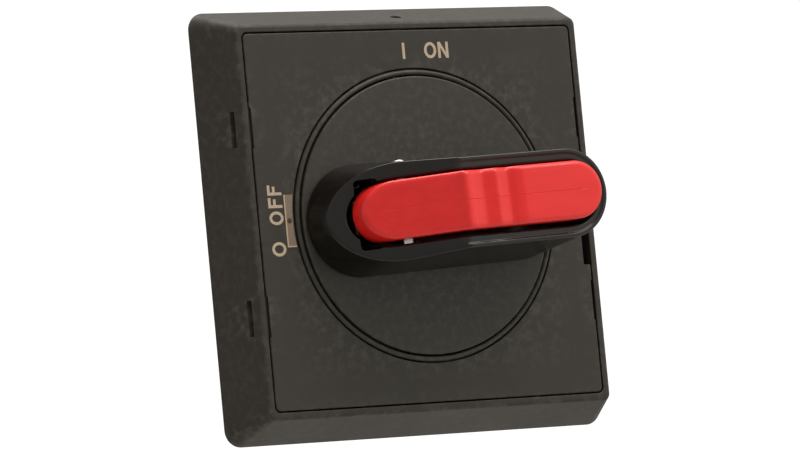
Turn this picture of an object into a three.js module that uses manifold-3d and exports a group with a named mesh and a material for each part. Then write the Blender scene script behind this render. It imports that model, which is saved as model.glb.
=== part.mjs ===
// Lockable door handle of a rotary isolator: a square housing with a snap-in cover plate, a turning
// disc with a raised grip, and a red lever in the grip that tilts out to take padlocks.
// Millimetres. X is right, Z is up and Y runs back through the door. The door's face is the plane
// y = 0, the turning axis is the Y axis, and the handle stands out towards -Y.
import * as THREE from 'three';
import { mergeVertices } from 'three/addons/utils/BufferGeometryUtils.js';
import Module from 'manifold-3d';

const wasm = await Module();
wasm.setup();

// ---------------------------------------------------------------- driving dimensions
const GAP = 0.3;                  // clearance between pieces that rest on each other
const OVER = 1;                   // how far a cutting tool runs past the surface that it cuts
const FAR = 60;                   // beyond every surface of the handle
const ROUND = 64;                 // sides of a large circle
const HEXAGON = 6;                 // sides of sockets and nuts
const WIRE_SIDES = 8;
const COIL_STEPS = 16;             // steps per turn of a spring
const SMALL_ROUND = 24;           // sides of a small circle
const CORNER_STEPS = 4;           // steps round one corner of a square outline

// Housing: a hollow square frustum with a floor against the door.
const BASE_SIDE = 90;
const BASE_CORNER = 3.6;
const FACE_SIDE = 81;
const FACE_CORNER = 1.4;
const DEPTH = 12.2;
const FACE = -DEPTH;              // y of the front face
const FLOOR = -3;                 // y of the floor's inner side
const WELL_SIDE = 78.2;           // square well that the cover plate drops into
const WELL_CORNER = 1.3;
const SPIGOT_RADIUS = 18.2;       // bearing boss, which also centres the handle in the door's hole
const SPIGOT_BORE = 14.9;
const SPIGOT_FRONT = -5;
const SPIGOT_REAR = 4;
const GASKET_SIDE = 83.4;
const GASKET_INNER = 78.6;
const GASKET_DEPTH = 1.5;
const GASKET_CORNER = 2;
const RELIEF_SIDE = 73;           // shallow relief on the back, inside the gasket
const RELIEF_CORNER = 3;
const RELIEF_BOSS = 22;
const SCREW_PAD_RADIUS = 5;
const RELIEF_DEPTH = 1.1;
const RIB_WIDTH = 2.4;
const RELEASE_HOLE_RADIUS = 1.2;
const RELEASE_HOLE_Y = -7.65;

// Fixing screws at the housing's corners, with nuts behind the door.
const FIXING_OFFSET = 32;
const FIXING_HEAD_RADIUS = 3.6;
const FIXING_HEAD_HEIGHT = 2.2;
const FIXING_SHANK_RADIUS = 1.9;
const FIXING_HOLE_RADIUS = 2.3;
const FIXING_TIP = 9;
const CROSS_RECESS = { reach: 2.2, half: 0.45, floor: 1 };
const NUT_ACROSS_FLATS = 7;
const NUT_FRONT = 2.8;
const NUT_HEIGHT = 3.2;

// Cover plate.
const PLATE_SIDE = 77.6;
const PLATE_CORNER = 1;
const PLATE_THICKNESS = 1.8;
const PLATE_BACK = FACE + PLATE_THICKNESS;
const OPENING_RADIUS = 30.75;
const HOOK_Z = 19.4;
const HOOK_LENGTH = 6.8;
const HOOK_THICKNESS = 1.2;
const HOOK_REACH = 1.5;
const HOOK_LIP_FRONT = -9.8;
const HOOK_LIP_REAR = -9.2;
const HOOK_SET_BACK = 0.1;        // the hook's leg stands this far inside the plate's edge
const HOOK_ROOT = 0.5;            // how deep the hook's leg and lip run into each other
const WINDOW_LENGTH = 7.4;
const HOOK_RELIEF = { depth: 0.35, height: 0.6, margin: 0.5 };
const SIDE_NOTCH_DEPTH = 1.6;
const SIDE_NOTCH_HALF = 11.9;

// Bead ring round the disc, and the disc.
const BEAD_INNER = 29.35;
const BEAD_OUTER = 30.45;
const BEAD_RISE = 0.3;
const BEAD_FLANGE = 33.5;
const BEAD_BACK = -9.7;
const BEAD_FLANGE_THICKNESS = 0.4;
const BEAD_STEPS = 6;
const DISC_RADIUS = 29.05;
const DISC_DEPTH = 2;
const DISC_RISE = 0.6;            // how far the disc stands out of the plate
const DISC_FRONT = FACE - DISC_RISE;
const DISC_BACK = FACE + DISC_DEPTH;

// Grip. Heights are measured from the front face, towards -Y.
const OFF_TILT = -2.5 * Math.PI / 180;   // the grip rests against its OFF stop, just past level
const GRIP_FOOT = DISC_RISE + GAP;
const GRIP_TOP = 23.8;
const GRIP_FOOT_LEFT = { x: -16.9, radius: 11.7 };
const GRIP_FOOT_RIGHT = { x: 20.9, radius: 11.3 };
const GRIP_TOP_LEFT = { x: -11.8, radius: 9.2 };
const GRIP_TOP_RIGHT = { x: 20.7, radius: 9.2 };
const RAMP_TOP_X = -4.5;
const RAMP_SLOPE = 0.78;
const TROUGH_HALF = 6.65;
const TROUGH_LEFT = -23.3;
const TROUGH_RIGHT = 28.1;
const TROUGH_FLOOR = 7.5;
const HEEL_FLOOR = 4.5;
const HEEL_FLOOR_END = -9;
const CHEEK_POCKET = { left: -21.8, right: -17.8, low: -7, high: 7.5, floor: 6 };

// Lock lever, its pin and spring.
const PIN_X = -12.5;
const PIN_HEIGHT = 13.6;
const PIN_RADIUS = 1.1;
const PIN_LOW = -9;               // the pin's hole is blind on the lower side of the grip
const PIN_HIGH = 10.9;
const LEVER_HALF = 6;
const LEVER_Z = 0.3;              // the lever sits a little above the middle of the trough
const LEVER_LEFT = -22.2;
const LEVER_RIGHT = 27;
const LEVER_HEEL_BOTTOM = 9;
const LEVER_HEEL_TOP = 13.9;
const LEVER_TIP_TOP = 27.3;
const LEVER_WAVES = [             // x and height of the crest, the two finger waves and the flat's start
  [-6.5, 25.6], [-5.1, 26.8], [-4.2, 26.95], [-2.6, 26.45], [-0.6, 26], [1, 26.45], [2.6, 26.85],
  [4.2, 26.35], [5.5, 26], [7.2, 26.7], [8.8, 27.05],
];
const WAVE_STEPS = 24;
const LEVER_SLAB_BOTTOM = 21.4;
const WEB_HALF = 3.6;
const WEB_LEFT = -4;
const WEB_RIGHT = 25;
const WEB_BOTTOM = 8.5;
const WEB_BLEND = 6;              // length of the slope from the heel's bottom up to the slab's
const PADLOCK_LEFT = 1;
const PADLOCK_RIGHT = 22;
const PADLOCK_LOW = 10.4;
const PADLOCK_HIGH = 17.6;
const SPRING_WIRE = 0.35;
const SPRING_RADIUS = 2.6;
const SPRING_TURNS = 3;
const SPRING_PITCH = 0.8;
const SPRING_SLOT = { reach: 4.2, half: 1.9, top: 16.9 };

// Lock tongue and the notched ring that it drops into.
const TONGUE_X = -20.3;
const TONGUE_THICKNESS = 2.5;
const TONGUE_WIDTH = 7;
const TONGUE_TOP = 8.7;
const TONGUE_BOTTOM = -6.3;
const TONGUE_CLEARANCE = 0.5;
const RING_INNER = 19.3;
const RING_OUTER = 25.4;
const RING_FRONT = -5.5;
const RING_SCREW_RADIUS = 23.8;
const RING_SCREW = { hole: 1.5, head: 1.6, headHeight: 1.1, shank: 1.1, pilot: 1.6 };
const TONGUE_POCKET_DEPTH = 1.6;  // how far the tongue's pockets go into the housing's floor
const HANDLE_TRAVEL = 92.5 * Math.PI / 180;

// Hub stack on the turning axis.
const HUB_RADIUS = 12;
const HUB_FLANGE = 17;
const HUB_FRONT = -9.9;
const HUB_FLANGE_BACK = -7.9;
const HUB_REAR = 8;
const SOCKET_RADIUS = 9.4;
const SOCKET_FLOOR = -2;
const WASHER = { inner: 12.4, outer: 17.2, front: -7.6, rear: -6.8 };
const BUSH = { bore: 12.3, sleeve: 14.6, flange: 17.5, front: -6.5, shoulder: -5.3, rear: 1.6 };
const SEAL = { radius: 13.45, section: 1.1, y: 2.9, steps: 10, sides: 48 };
const CLIP = { inner: 11, outer: 15.6, front: 4.5, rear: 5.6, slot: 3, eye: 1.9, eyeHole: 0.8, eyeOut: 0.4 };
const CLIP_GROOVE_RADIUS = 10.7;
const COUPLER = { spigot: 9.1, head: 10.8, front: -1.6, shoulder: 8.3, rear: 26 };
const COUPLER_CAVITY = { radius: 4.8, rear: 2.8 };   // room for the hub screw's head
const SHAFT_SQUARE = 8.2;
const SHAFT_DEPTH = 21;
const SHAFT_LEAD = 1.2;
const HUB_SCREW = { head: 4.2, headRear: 1.2, shank: 2.2, tip: -18.6, hexagon: 2, hexagonDepth: 1.5 };
const SET_SCREW = { radius: 1.9, y: 19, inner: 4.6, outer: 10.4, hexagon: 1, hexagonDepth: 1.6 };

// Interlock release slider under the cover plate.
const SLIDER = { half: 3, front: -9.1, rear: -6.2, low: 25.6, high: 37.6 };
const SLIDER_WINDOW = { half: 2.1, low: 27.1, high: 35 };
const GUIDE = { half: 4.8, front: -9.4, low: 26.2, high: 37 };
const GUIDE_POST = { half: 1.7, low: 27.5, high: 28.8 };
const GUIDE_ROOT = 0.5;           // how deep the guide runs into the floor
const RELEASE_SPRING = { radius: 1, wire: 0.25, low: 29.4, high: 34.4, turns: 6 };

// ---------------------------------------------------------------- materials
const finish = (color, roughness, metalness = 0) =>
  new THREE.MeshStandardMaterial({ color, roughness, metalness });
const HOUSING_PLASTIC = finish(0x3c3a36, 0.6);
const PLATE_PLASTIC = finish(0x42403b, 0.5);
const DISC_PLASTIC = finish(0x403e3a, 0.38);
const GRIP_PLASTIC = finish(0x1c1b19, 0.22);
const LEVER_PLASTIC = finish(0xcf2f2c, 0.32);
const STEEL = finish(0xb9bbbd, 0.3, 1);
const ZINC = finish(0x9a9c9e, 0.42, 1);
const ACETAL = finish(0xd9d6cc, 0.5);
const RUBBER = finish(0x1a1a1a, 0.85);

// ---------------------------------------------------------------- solid helpers
// A solid for joining and cutting, made from any closed geometry, with its faces turned outwards.
function solid(geometry) {
  const bare = geometry.clone();
  bare.deleteAttribute('normal');
  bare.deleteAttribute('uv');
  const merged = mergeVertices(bare, 1e-4);
  const vertProperties = new Float32Array(merged.attributes.position.array);
  const corner = (i) => new THREE.Vector3().fromArray(vertProperties, 3 * i);
  const faces = [];
  let volume = 0;
  for (let i = 0; i < merged.index.count; i += 3) {
    const face = [0, 1, 2].map((k) => merged.index.getX(i + k));
    if (new Set(face).size < 3) continue;
    faces.push(face);
    const [a, b, c] = face.map(corner);
    volume += a.dot(b.cross(c));
  }
  const triVerts = new Uint32Array(faces.flatMap(([a, b, c]) => (volume < 0 ? [a, c, b] : [a, b, c])));
  return new wasm.Manifold(new wasm.Mesh({ numProp: 3, vertProperties, triVerts }));
}

function joined(first, ...others) {
  return others.reduce((sum, other) => sum.add(other), first);
}

function cut(body, ...tools) {
  return tools.reduce((rest, tool) => rest.subtract(tool), body);
}

function named(name, body, material) {
  const { vertProperties, triVerts } = body.getMesh();
  const geometry = new THREE.BufferGeometry();
  geometry.setAttribute('position', new THREE.BufferAttribute(new Float32Array(vertProperties), 3));
  geometry.setIndex(new THREE.BufferAttribute(new Uint32Array(triVerts), 1));
  geometry.computeVertexNormals();
  const mesh = new THREE.Mesh(geometry, material);
  mesh.name = name;
  return mesh;
}

// A box between two corners.
function block(x0, x1, y0, y1, z0, z1) {
  const box = new THREE.BoxGeometry(x1 - x0, y1 - y0, z1 - z0);
  box.translate((x0 + x1) / 2, (y0 + y1) / 2, (z0 + z1) / 2);
  return solid(box);
}

// A flat outline in X and Z, carried along Y from rear to front.
function slab(shape, rear, front) {
  const geometry = new THREE.ExtrudeGeometry(shape, { depth: rear - front, bevelEnabled: false });
  geometry.rotateX(Math.PI / 2);
  geometry.translate(0, rear, 0);
  return solid(geometry);
}

// A side view in X and height above the front face, carried across Z on both sides of the middle.
function sideView(shape, half) {
  const geometry = new THREE.ExtrudeGeometry(shape, { depth: 2 * half, bevelEnabled: false });
  geometry.translate(0, 0, -half);
  geometry.rotateX(Math.PI);
  geometry.translate(0, FACE, 0);
  return solid(geometry);
}

// A profile of [radius, y] points turned round the Y axis.
function turned(profile, segments = ROUND) {
  return solid(new THREE.LatheGeometry(profile.map(([r, y]) => new THREE.Vector2(r, y)), segments));
}

// A round bar along Y.
function bar(radius, rear, front, x = 0, z = 0, segments = SMALL_ROUND) {
  const geometry = new THREE.CylinderGeometry(radius, radius, rear - front, segments);
  geometry.translate(x, (rear + front) / 2, z);
  return solid(geometry);
}

// A round bar along Z.
function crossBar(radius, z0, z1, x, y, segments = SMALL_ROUND) {
  const geometry = new THREE.CylinderGeometry(radius, radius, z1 - z0, segments);
  geometry.rotateX(Math.PI / 2);
  geometry.translate(x, y, (z0 + z1) / 2);
  return solid(geometry);
}

// A tube section with square edges, turned round the Y axis.
function tube(inner, outer, rear, front, segments = ROUND) {
  return turned([[inner, front], [outer, front], [outer, rear], [inner, rear], [inner, front]], segments);
}

function polygon(points) {
  return new THREE.Shape(points.map(([x, y]) => new THREE.Vector2(x, y)));
}

// Points along an arc, both ends included.
function arc(x, y, radius, start, end, steps) {
  return Array.from({ length: steps + 1 }, (_, i) => {
    const angle = start + (end - start) * i / steps;
    return [x + radius * Math.cos(angle), y + radius * Math.sin(angle)];
  });
}

function circle(radius, sides = ROUND) {
  return polygon(arc(0, 0, radius, 0, 2 * Math.PI, sides).slice(1));
}

function roundedSquare(side, radius) {
  const inner = side / 2 - radius;
  const quarter = Math.PI / 2;
  return polygon([[1, 1], [-1, 1], [-1, -1], [1, -1]].flatMap(([sx, sy], k) =>
    arc(sx * inner, sy * inner, radius, k * quarter, (k + 1) * quarter, CORNER_STEPS)));
}

// Two half circles joined by straight sides.
function stadium(left, right) {
  const quarter = Math.PI / 2;
  const steps = SMALL_ROUND / 2;
  return polygon([
    ...arc(right.x, 0, right.radius, -quarter, quarter, steps),
    ...arc(left.x, 0, left.radius, quarter, 3 * quarter, steps),
  ]);
}

// A convex loft along Y between outlines that have the same number of points.
function loft(sections) {
  const rings = sections.map(({ shape, y }) =>
    shape.getPoints().map((p) => new THREE.Vector3(p.x, y, p.y)));
  const count = rings[0].length;
  const faces = [];
  for (let ring = 0; ring + 1 < rings.length; ring += 1) {
    for (let i = 0; i < count; i += 1) {
      const a = ring * count + i;
      const b = ring * count + (i + 1) % count;
      faces.push(a, b, b + count, a, b + count, a + count);
    }
  }
  const last = (rings.length - 1) * count;
  for (let i = 1; i + 1 < count; i += 1) {
    faces.push(0, i + 1, i, last, last + i, last + i + 1);
  }
  const geometry = new THREE.BufferGeometry().setFromPoints(rings.flat());
  geometry.setIndex(faces);
  return solid(geometry);
}

// A coil of round wire round an axis along Z, with its first turn's centre at z = 0.
class Helix extends THREE.Curve {
  constructor(radius, turns, pitch) {
    super();
    Object.assign(this, { radius, turns, pitch });
  }

  getPoint(t, target = new THREE.Vector3()) {
    const angle = 2 * Math.PI * this.turns * t;
    const rise = this.pitch * this.turns * t;
    return target.set(this.radius * Math.cos(angle), this.radius * Math.sin(angle), rise);
  }
}

function coil(radius, turns, pitch, wire, stepsPerTurn) {
  return new THREE.ExtrudeGeometry(circle(wire, WIRE_SIDES), {
    steps: Math.round(turns * stepsPerTurn),
    bevelEnabled: false,
    extrudePath: new Helix(radius, turns, pitch),
  });
}

function corners(offset) {
  return [[-1, 1], [1, 1], [1, -1], [-1, -1]].map(([sx, sz]) => [sx * offset, sz * offset]);
}

// ---------------------------------------------------------------- housing
function frameShell() {
  return loft([
    { shape: roundedSquare(BASE_SIDE, BASE_CORNER), y: 0 },
    { shape: roundedSquare(FACE_SIDE, FACE_CORNER), y: FACE },
  ]);
}

function hookWindows() {
  const outside = BASE_SIDE / 2 + OVER;
  const inside = WELL_SIDE / 2 - OVER;
  const tools = [];
  for (const side of [-1, 1]) {
    for (const z of [-HOOK_Z, HOOK_Z]) {
      const [x0, x1] = side < 0 ? [-outside, -inside] : [inside, outside];
      tools.push(block(x0, x1, HOOK_LIP_FRONT - GAP, HOOK_LIP_REAR + GAP,
        z - WINDOW_LENGTH / 2, z + WINDOW_LENGTH / 2));
    }
  }
  return tools;
}

// Shallow relief in the back, with ribs, a boss and screw pads left standing.
function backRelief() {
  const relief = slab(roundedSquare(RELIEF_SIDE, RELIEF_CORNER), OVER, -RELIEF_DEPTH);
  const ribs = [0, Math.PI / 4].flatMap((turn) => [0, 1].map((k) => {
    const rib = new THREE.BoxGeometry(RIB_WIDTH, 2 * DEPTH, 2 * RELIEF_SIDE);
    rib.rotateY(turn + k * Math.PI / 2);
    return solid(rib);
  }));
  const pads = corners(FIXING_OFFSET).map(([x, z]) =>
    bar(SCREW_PAD_RADIUS, 2 * OVER, FLOOR - OVER, x, z));
  return cut(relief, bar(RELIEF_BOSS, 2 * OVER, FLOOR - OVER, 0, 0, ROUND), ...ribs, ...pads);
}

function gasketGroove() {
  const ring = roundedSquare(GASKET_SIDE + 2 * GAP, GASKET_CORNER);
  ring.holes.push(roundedSquare(GASKET_INNER - 2 * GAP, GASKET_CORNER));
  return slab(ring, OVER, -GASKET_DEPTH);
}

// The channel that the release slider runs in, with the post its spring pushes against.
function sliderGuide() {
  const { half, front, low, high } = GUIDE;
  const rail = block(-half, half, front, FLOOR + GUIDE_ROOT, low, high);
  const channel = block(-SLIDER.half - GAP, SLIDER.half + GAP, front - OVER, SLIDER.rear + GAP,
    low - OVER, high + OVER);
  const post = block(-GUIDE_POST.half, GUIDE_POST.half, SLIDER.front, FLOOR,
    GUIDE_POST.low, GUIDE_POST.high);
  return joined(cut(rail, channel), post);
}

function tongueBox(turn, clearance, rear, front) {
  const box = new THREE.BoxGeometry(
    TONGUE_THICKNESS + 2 * clearance, rear - front, TONGUE_WIDTH + 2 * clearance);
  box.translate(TONGUE_X, (rear + front) / 2, 0);
  box.rotateY(OFF_TILT + turn);
  return solid(box);
}

function tonguePockets(rear, front) {
  return [0, HANDLE_TRAVEL].map((turn) => tongueBox(turn, TONGUE_CLEARANCE, rear, front));
}

function bezelFrame() {
  const well = slab(roundedSquare(WELL_SIDE, WELL_CORNER), FLOOR, FACE - OVER);
  const boss = bar(SPIGOT_RADIUS, SPIGOT_REAR, SPIGOT_FRONT, 0, 0, ROUND);
  const bore = bar(SPIGOT_BORE, SPIGOT_REAR + OVER, SPIGOT_FRONT - OVER, 0, 0, ROUND);
  const holes = corners(FIXING_OFFSET).map(([x, z]) =>
    bar(FIXING_HOLE_RADIUS, OVER, FLOOR - OVER, x, z));
  const release = crossBar(
    RELEASE_HOLE_RADIUS, WELL_SIDE / 2 - OVER, BASE_SIDE / 2, 0, RELEASE_HOLE_Y);
  const screwHoles = ringScrewPlaces().map(([x, z]) =>
    bar(RING_SCREW.hole, FLOOR + RING_SCREW.pilot + GAP, FLOOR - OVER, x, z));
  const body = joined(cut(frameShell(), well), boss, sliderGuide());
  return cut(body, bore, backRelief(), gasketGroove(), release, ...holes, ...screwHoles,
    ...hookWindows(), ...tonguePockets(FLOOR + TONGUE_POCKET_DEPTH, FLOOR - OVER));
}

function panelGasket() {
  const ring = roundedSquare(GASKET_SIDE, GASKET_CORNER);
  ring.holes.push(roundedSquare(GASKET_INNER, GASKET_CORNER));
  return slab(ring, 0, GAP - GASKET_DEPTH);
}

// ---------------------------------------------------------------- cover plate
function coverPlate() {
  const outline = roundedSquare(PLATE_SIDE, PLATE_CORNER);
  outline.holes.push(circle(OPENING_RADIUS));
  const edge = PLATE_SIDE / 2;
  const hooks = [];
  const reliefs = [];
  for (const side of [-1, 1]) {
    for (const z of [-HOOK_Z, HOOK_Z]) {
      const across = (near, far) => [side * near, side * far].sort((a, b) => a - b);
      const [z0, z1] = [z - HOOK_LENGTH / 2, z + HOOK_LENGTH / 2];
      const reach = WINDOW_LENGTH / 2 + HOOK_RELIEF.margin;
      hooks.push(block(...across(edge - HOOK_THICKNESS, edge - HOOK_SET_BACK),
        (FACE + PLATE_BACK) / 2, HOOK_LIP_REAR + HOOK_ROOT, z0, z1));
      hooks.push(block(...across(edge - HOOK_ROOT, edge + HOOK_REACH),
        HOOK_LIP_FRONT, HOOK_LIP_REAR, z0, z1));
      reliefs.push(block(...across(edge - HOOK_RELIEF.depth, edge + OVER),
        FACE - OVER, FACE + HOOK_RELIEF.height, z - reach, z + reach));
    }
  }
  const notch = block(edge - SIDE_NOTCH_DEPTH, edge + OVER, FACE - OVER, PLATE_BACK + OVER,
    -SIDE_NOTCH_HALF, SIDE_NOTCH_HALF);
  return cut(joined(slab(outline, PLATE_BACK, FACE), ...hooks), notch, ...reliefs);
}

// A flanged ring whose front edge is a half-round bead.
function beadRing() {
  const middle = (BEAD_INNER + BEAD_OUTER) / 2;
  const half = (BEAD_OUTER - BEAD_INNER) / 2;
  const flangeFront = BEAD_BACK - BEAD_FLANGE_THICKNESS;
  const profile = [[BEAD_INNER, BEAD_BACK], [BEAD_FLANGE, BEAD_BACK],
    [BEAD_FLANGE, flangeFront], [BEAD_OUTER, flangeFront]];
  for (let step = 0; step <= BEAD_STEPS; step += 1) {
    const angle = Math.PI * step / BEAD_STEPS;
    profile.push([middle + half * Math.cos(angle), FACE + half - BEAD_RISE - half * Math.sin(angle)]);
  }
  profile.push([BEAD_INNER, BEAD_BACK]);
  return turned(profile);
}

// ---------------------------------------------------------------- hub stack
function dialDisc() {
  const disc = bar(DISC_RADIUS, DISC_BACK, DISC_FRONT, 0, 0, ROUND);
  const screw = bar(HUB_SCREW.shank + GAP, DISC_BACK + OVER, DISC_FRONT - OVER);
  return cut(disc, screw,
    tongueBox(-OFF_TILT, TONGUE_CLEARANCE, DISC_BACK + OVER, DISC_FRONT - OVER));
}

function driveHub() {
  return turned([
    [HUB_SCREW.shank + GAP, HUB_FRONT], [HUB_FLANGE, HUB_FRONT], [HUB_FLANGE, HUB_FLANGE_BACK],
    [HUB_RADIUS, HUB_FLANGE_BACK], [HUB_RADIUS, CLIP.front - GAP],
    [CLIP_GROOVE_RADIUS, CLIP.front - GAP], [CLIP_GROOVE_RADIUS, CLIP.rear + GAP],
    [HUB_RADIUS, CLIP.rear + GAP], [HUB_RADIUS, HUB_REAR], [SOCKET_RADIUS, HUB_REAR],
    [SOCKET_RADIUS, SOCKET_FLOOR], [HUB_SCREW.shank + GAP, SOCKET_FLOOR],
    [HUB_SCREW.shank + GAP, HUB_FRONT],
  ]);
}

function hubBush() {
  const { bore, sleeve, flange, front, shoulder, rear } = BUSH;
  return turned([[bore, front], [flange, front], [flange, shoulder], [sleeve, shoulder],
    [sleeve, rear], [bore, rear], [bore, front]]);
}

function hubSeal() {
  const { radius, section, y, steps, sides } = SEAL;
  return turned(arc(radius, y, section, 0, 2 * Math.PI, steps), sides);
}

function retainingClip() {
  const { inner, outer, front, rear, slot, eye, eyeHole, eyeOut } = CLIP;
  const places = [-1, 1].map((side) => [side * (slot / 2 + eye), -outer - eyeOut]);
  const eyes = places.map(([x, z]) => bar(eye, rear, front, x, z));
  const eyeHoles = places.map(([x, z]) => bar(eyeHole, rear + OVER, front - OVER, x, z, SMALL_ROUND / 2));
  const opening = block(-slot / 2, slot / 2, front - OVER, rear + OVER, -outer - 2 * eye, 0);
  return cut(joined(tube(inner, outer, rear, front), ...eyes), opening, ...eyeHoles);
}

function shaftCoupler() {
  const { spigot, head, front, shoulder, rear } = COUPLER;
  const cavity = COUPLER_CAVITY;
  const body = turned([[cavity.radius, front], [spigot, front], [spigot, shoulder], [head, shoulder],
    [head, rear - 1], [head - 1, rear], [0, rear], [0, cavity.rear], [cavity.radius, cavity.rear],
    [cavity.radius, front]]);
  const half = SHAFT_SQUARE / 2;
  const square = block(-half, half, rear - SHAFT_DEPTH, rear + OVER, -half, half);
  const lead = new THREE.CylinderGeometry(
    Math.SQRT2 * (half + 2 * SHAFT_LEAD), Math.SQRT2 * half, 2 * SHAFT_LEAD, 4);
  lead.rotateY(Math.PI / 4);
  lead.translate(0, rear, 0);
  const tapped = crossBar(SET_SCREW.radius + GAP, 0, head + OVER, 0, SET_SCREW.y);
  return cut(body, square, solid(lead), tapped);
}

// A button-head screw that points along -Y, with a hexagon recess in its rear.
function hubScrew() {
  const { head, headRear, shank, tip, hexagon, hexagonDepth } = HUB_SCREW;
  const body = joined(bar(head, headRear, SOCKET_FLOOR + GAP), bar(shank, SOCKET_FLOOR + OVER, tip));
  return cut(body, bar(hexagon, headRear + OVER, headRear - hexagonDepth, 0, 0, HEXAGON));
}

function setScrew() {
  const { radius, y, inner, outer, hexagon, hexagonDepth } = SET_SCREW;
  return cut(crossBar(radius, inner, outer, 0, y),
    crossBar(hexagon, outer - hexagonDepth, outer + OVER, 0, y, HEXAGON));
}

// ---------------------------------------------------------------- lock ring
function ringScrewPlaces() {
  return [0, 1].map((k) => {
    const angle = Math.PI / 4 + k * Math.PI;
    return [RING_SCREW_RADIUS * Math.cos(angle), RING_SCREW_RADIUS * Math.sin(angle)];
  });
}

function lockRing() {
  const holes = ringScrewPlaces().map(([x, z]) =>
    bar(RING_SCREW.hole, FLOOR, RING_FRONT - OVER, x, z));
  return cut(tube(RING_INNER, RING_OUTER, FLOOR - GAP, RING_FRONT),
    ...tonguePockets(FLOOR, RING_FRONT - OVER), ...holes);
}

function ringScrew(x, z) {
  const seat = RING_FRONT - GAP;
  const head = bar(RING_SCREW.head, seat, seat - RING_SCREW.headHeight, x, z);
  const shank = bar(RING_SCREW.shank, FLOOR + RING_SCREW.pilot - GAP, seat - RING_SCREW.headHeight / 2,
    x, z, SMALL_ROUND);
  return joined(head, shank);
}

// ---------------------------------------------------------------- release slider
function releaseSlider() {
  const { half, front, rear, low, high } = SLIDER;
  const plate = block(-half, half, front, rear, low, high);
  const window = block(-SLIDER_WINDOW.half, SLIDER_WINDOW.half, front - OVER, rear + OVER,
    SLIDER_WINDOW.low, SLIDER_WINDOW.high);
  return cut(plate, window);
}

function releaseSpring() {
  const { radius, wire, low, high, turns } = RELEASE_SPRING;
  const wound = coil(radius, turns, (high - low) / turns, wire, COIL_STEPS);
  wound.translate(0, RELEASE_HOLE_Y, low);
  return solid(wound);
}

// ---------------------------------------------------------------- grip
// The plan outline of the grip at a height between its foot and its top.
function gripOutline(height) {
  const t = (height - GRIP_FOOT) / (GRIP_TOP - GRIP_FOOT);
  const between = (foot, top) => ({
    x: THREE.MathUtils.lerp(foot.x, top.x, t),
    radius: THREE.MathUtils.lerp(foot.radius, top.radius, t),
  });
  return stadium(between(GRIP_FOOT_LEFT, GRIP_TOP_LEFT), between(GRIP_FOOT_RIGHT, GRIP_TOP_RIGHT));
}

function rampHeight(x) {
  return GRIP_TOP + RAMP_SLOPE * (x - RAMP_TOP_X);
}

function trough() {
  const plan = slab(stadium(
    { x: TROUGH_LEFT + TROUGH_HALF, radius: TROUGH_HALF },
    { x: TROUGH_RIGHT - TROUGH_HALF, radius: TROUGH_HALF },
  ), FACE, FACE - 2 * GRIP_TOP);
  const side = sideView(polygon([
    [-FAR, HEEL_FLOOR], [HEEL_FLOOR_END, HEEL_FLOOR], [HEEL_FLOOR_END, TROUGH_FLOOR],
    [FAR, TROUGH_FLOOR], [FAR, 2 * GRIP_TOP], [-FAR, 2 * GRIP_TOP],
  ]), 2 * TROUGH_HALF);
  return plan.intersect(side);
}

function handleGrip() {
  const outer = loft([
    { shape: gripOutline(GRIP_FOOT), y: FACE - GRIP_FOOT },
    { shape: gripOutline(GRIP_TOP), y: FACE - GRIP_TOP },
  ]);
  const aboveRamp = sideView(polygon([
    [-FAR, rampHeight(-FAR)], [RAMP_TOP_X, GRIP_TOP], [RAMP_TOP_X, 2 * GRIP_TOP], [-FAR, 2 * GRIP_TOP],
  ]), FAR);
  const { left, right, low, high, floor } = CHEEK_POCKET;
  const cheeks = block(left, right, FACE - GRIP_TOP, FACE - floor, low, high);
  return cut(outer, aboveRamp, trough(), cheeks,
    crossBar(PIN_RADIUS + GAP, PIN_LOW - GAP, PIN_HIGH + OVER, PIN_X, FACE - PIN_HEIGHT),
    bar(HUB_SCREW.shank + GAP, FACE + OVER, HUB_SCREW.tip - GAP),
    tongueBox(-OFF_TILT, TONGUE_CLEARANCE, FACE + OVER, FACE - HEEL_FLOOR - OVER));
}

// ---------------------------------------------------------------- lock lever
// The lever's top from heel to tip: a ramp, two finger waves and a flat.
function leverTop() {
  return new THREE.SplineCurve(LEVER_WAVES.map(([x, y]) => new THREE.Vector2(x, y))).getPoints(WAVE_STEPS);
}

function leverPlan(half) {
  return slab(stadium(
    { x: LEVER_LEFT + half, radius: half }, { x: LEVER_RIGHT - half, radius: half },
  ), FACE, FACE - 2 * GRIP_TOP);
}

function lockLever() {
  const slabSide = polygon([
    [LEVER_LEFT - OVER, LEVER_HEEL_BOTTOM], [WEB_LEFT, LEVER_HEEL_BOTTOM],
    [WEB_LEFT + WEB_BLEND, LEVER_SLAB_BOTTOM], [LEVER_RIGHT + OVER, LEVER_SLAB_BOTTOM],
    [LEVER_RIGHT + OVER, LEVER_TIP_TOP], ...leverTop().reverse().map((p) => [p.x, p.y]),
    [LEVER_LEFT, LEVER_HEEL_TOP], [LEVER_LEFT - OVER, LEVER_HEEL_TOP],
  ]);
  const shell = sideView(slabSide, 2 * LEVER_HALF).intersect(leverPlan(LEVER_HALF));
  const web = block(WEB_LEFT, WEB_RIGHT, FACE - LEVER_SLAB_BOTTOM - OVER, FACE - WEB_BOTTOM,
    -WEB_HALF, WEB_HALF);
  const padlockSlot = block(PADLOCK_LEFT, PADLOCK_RIGHT, FACE - PADLOCK_HIGH, FACE - PADLOCK_LOW,
    -2 * WEB_HALF, 2 * WEB_HALF);
  const { reach, half, top } = SPRING_SLOT;
  const springSlot = block(PIN_X - reach, PIN_X + reach, FACE - top, FACE, -half, half);
  const pinHole = crossBar(PIN_RADIUS + GAP, -FAR, FAR, PIN_X, FACE - PIN_HEIGHT);
  return cut(joined(shell, web), padlockSlot, springSlot, pinHole);
}

function leverPin() {
  return crossBar(PIN_RADIUS, PIN_LOW, PIN_HIGH, PIN_X, FACE - PIN_HEIGHT);
}

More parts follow.
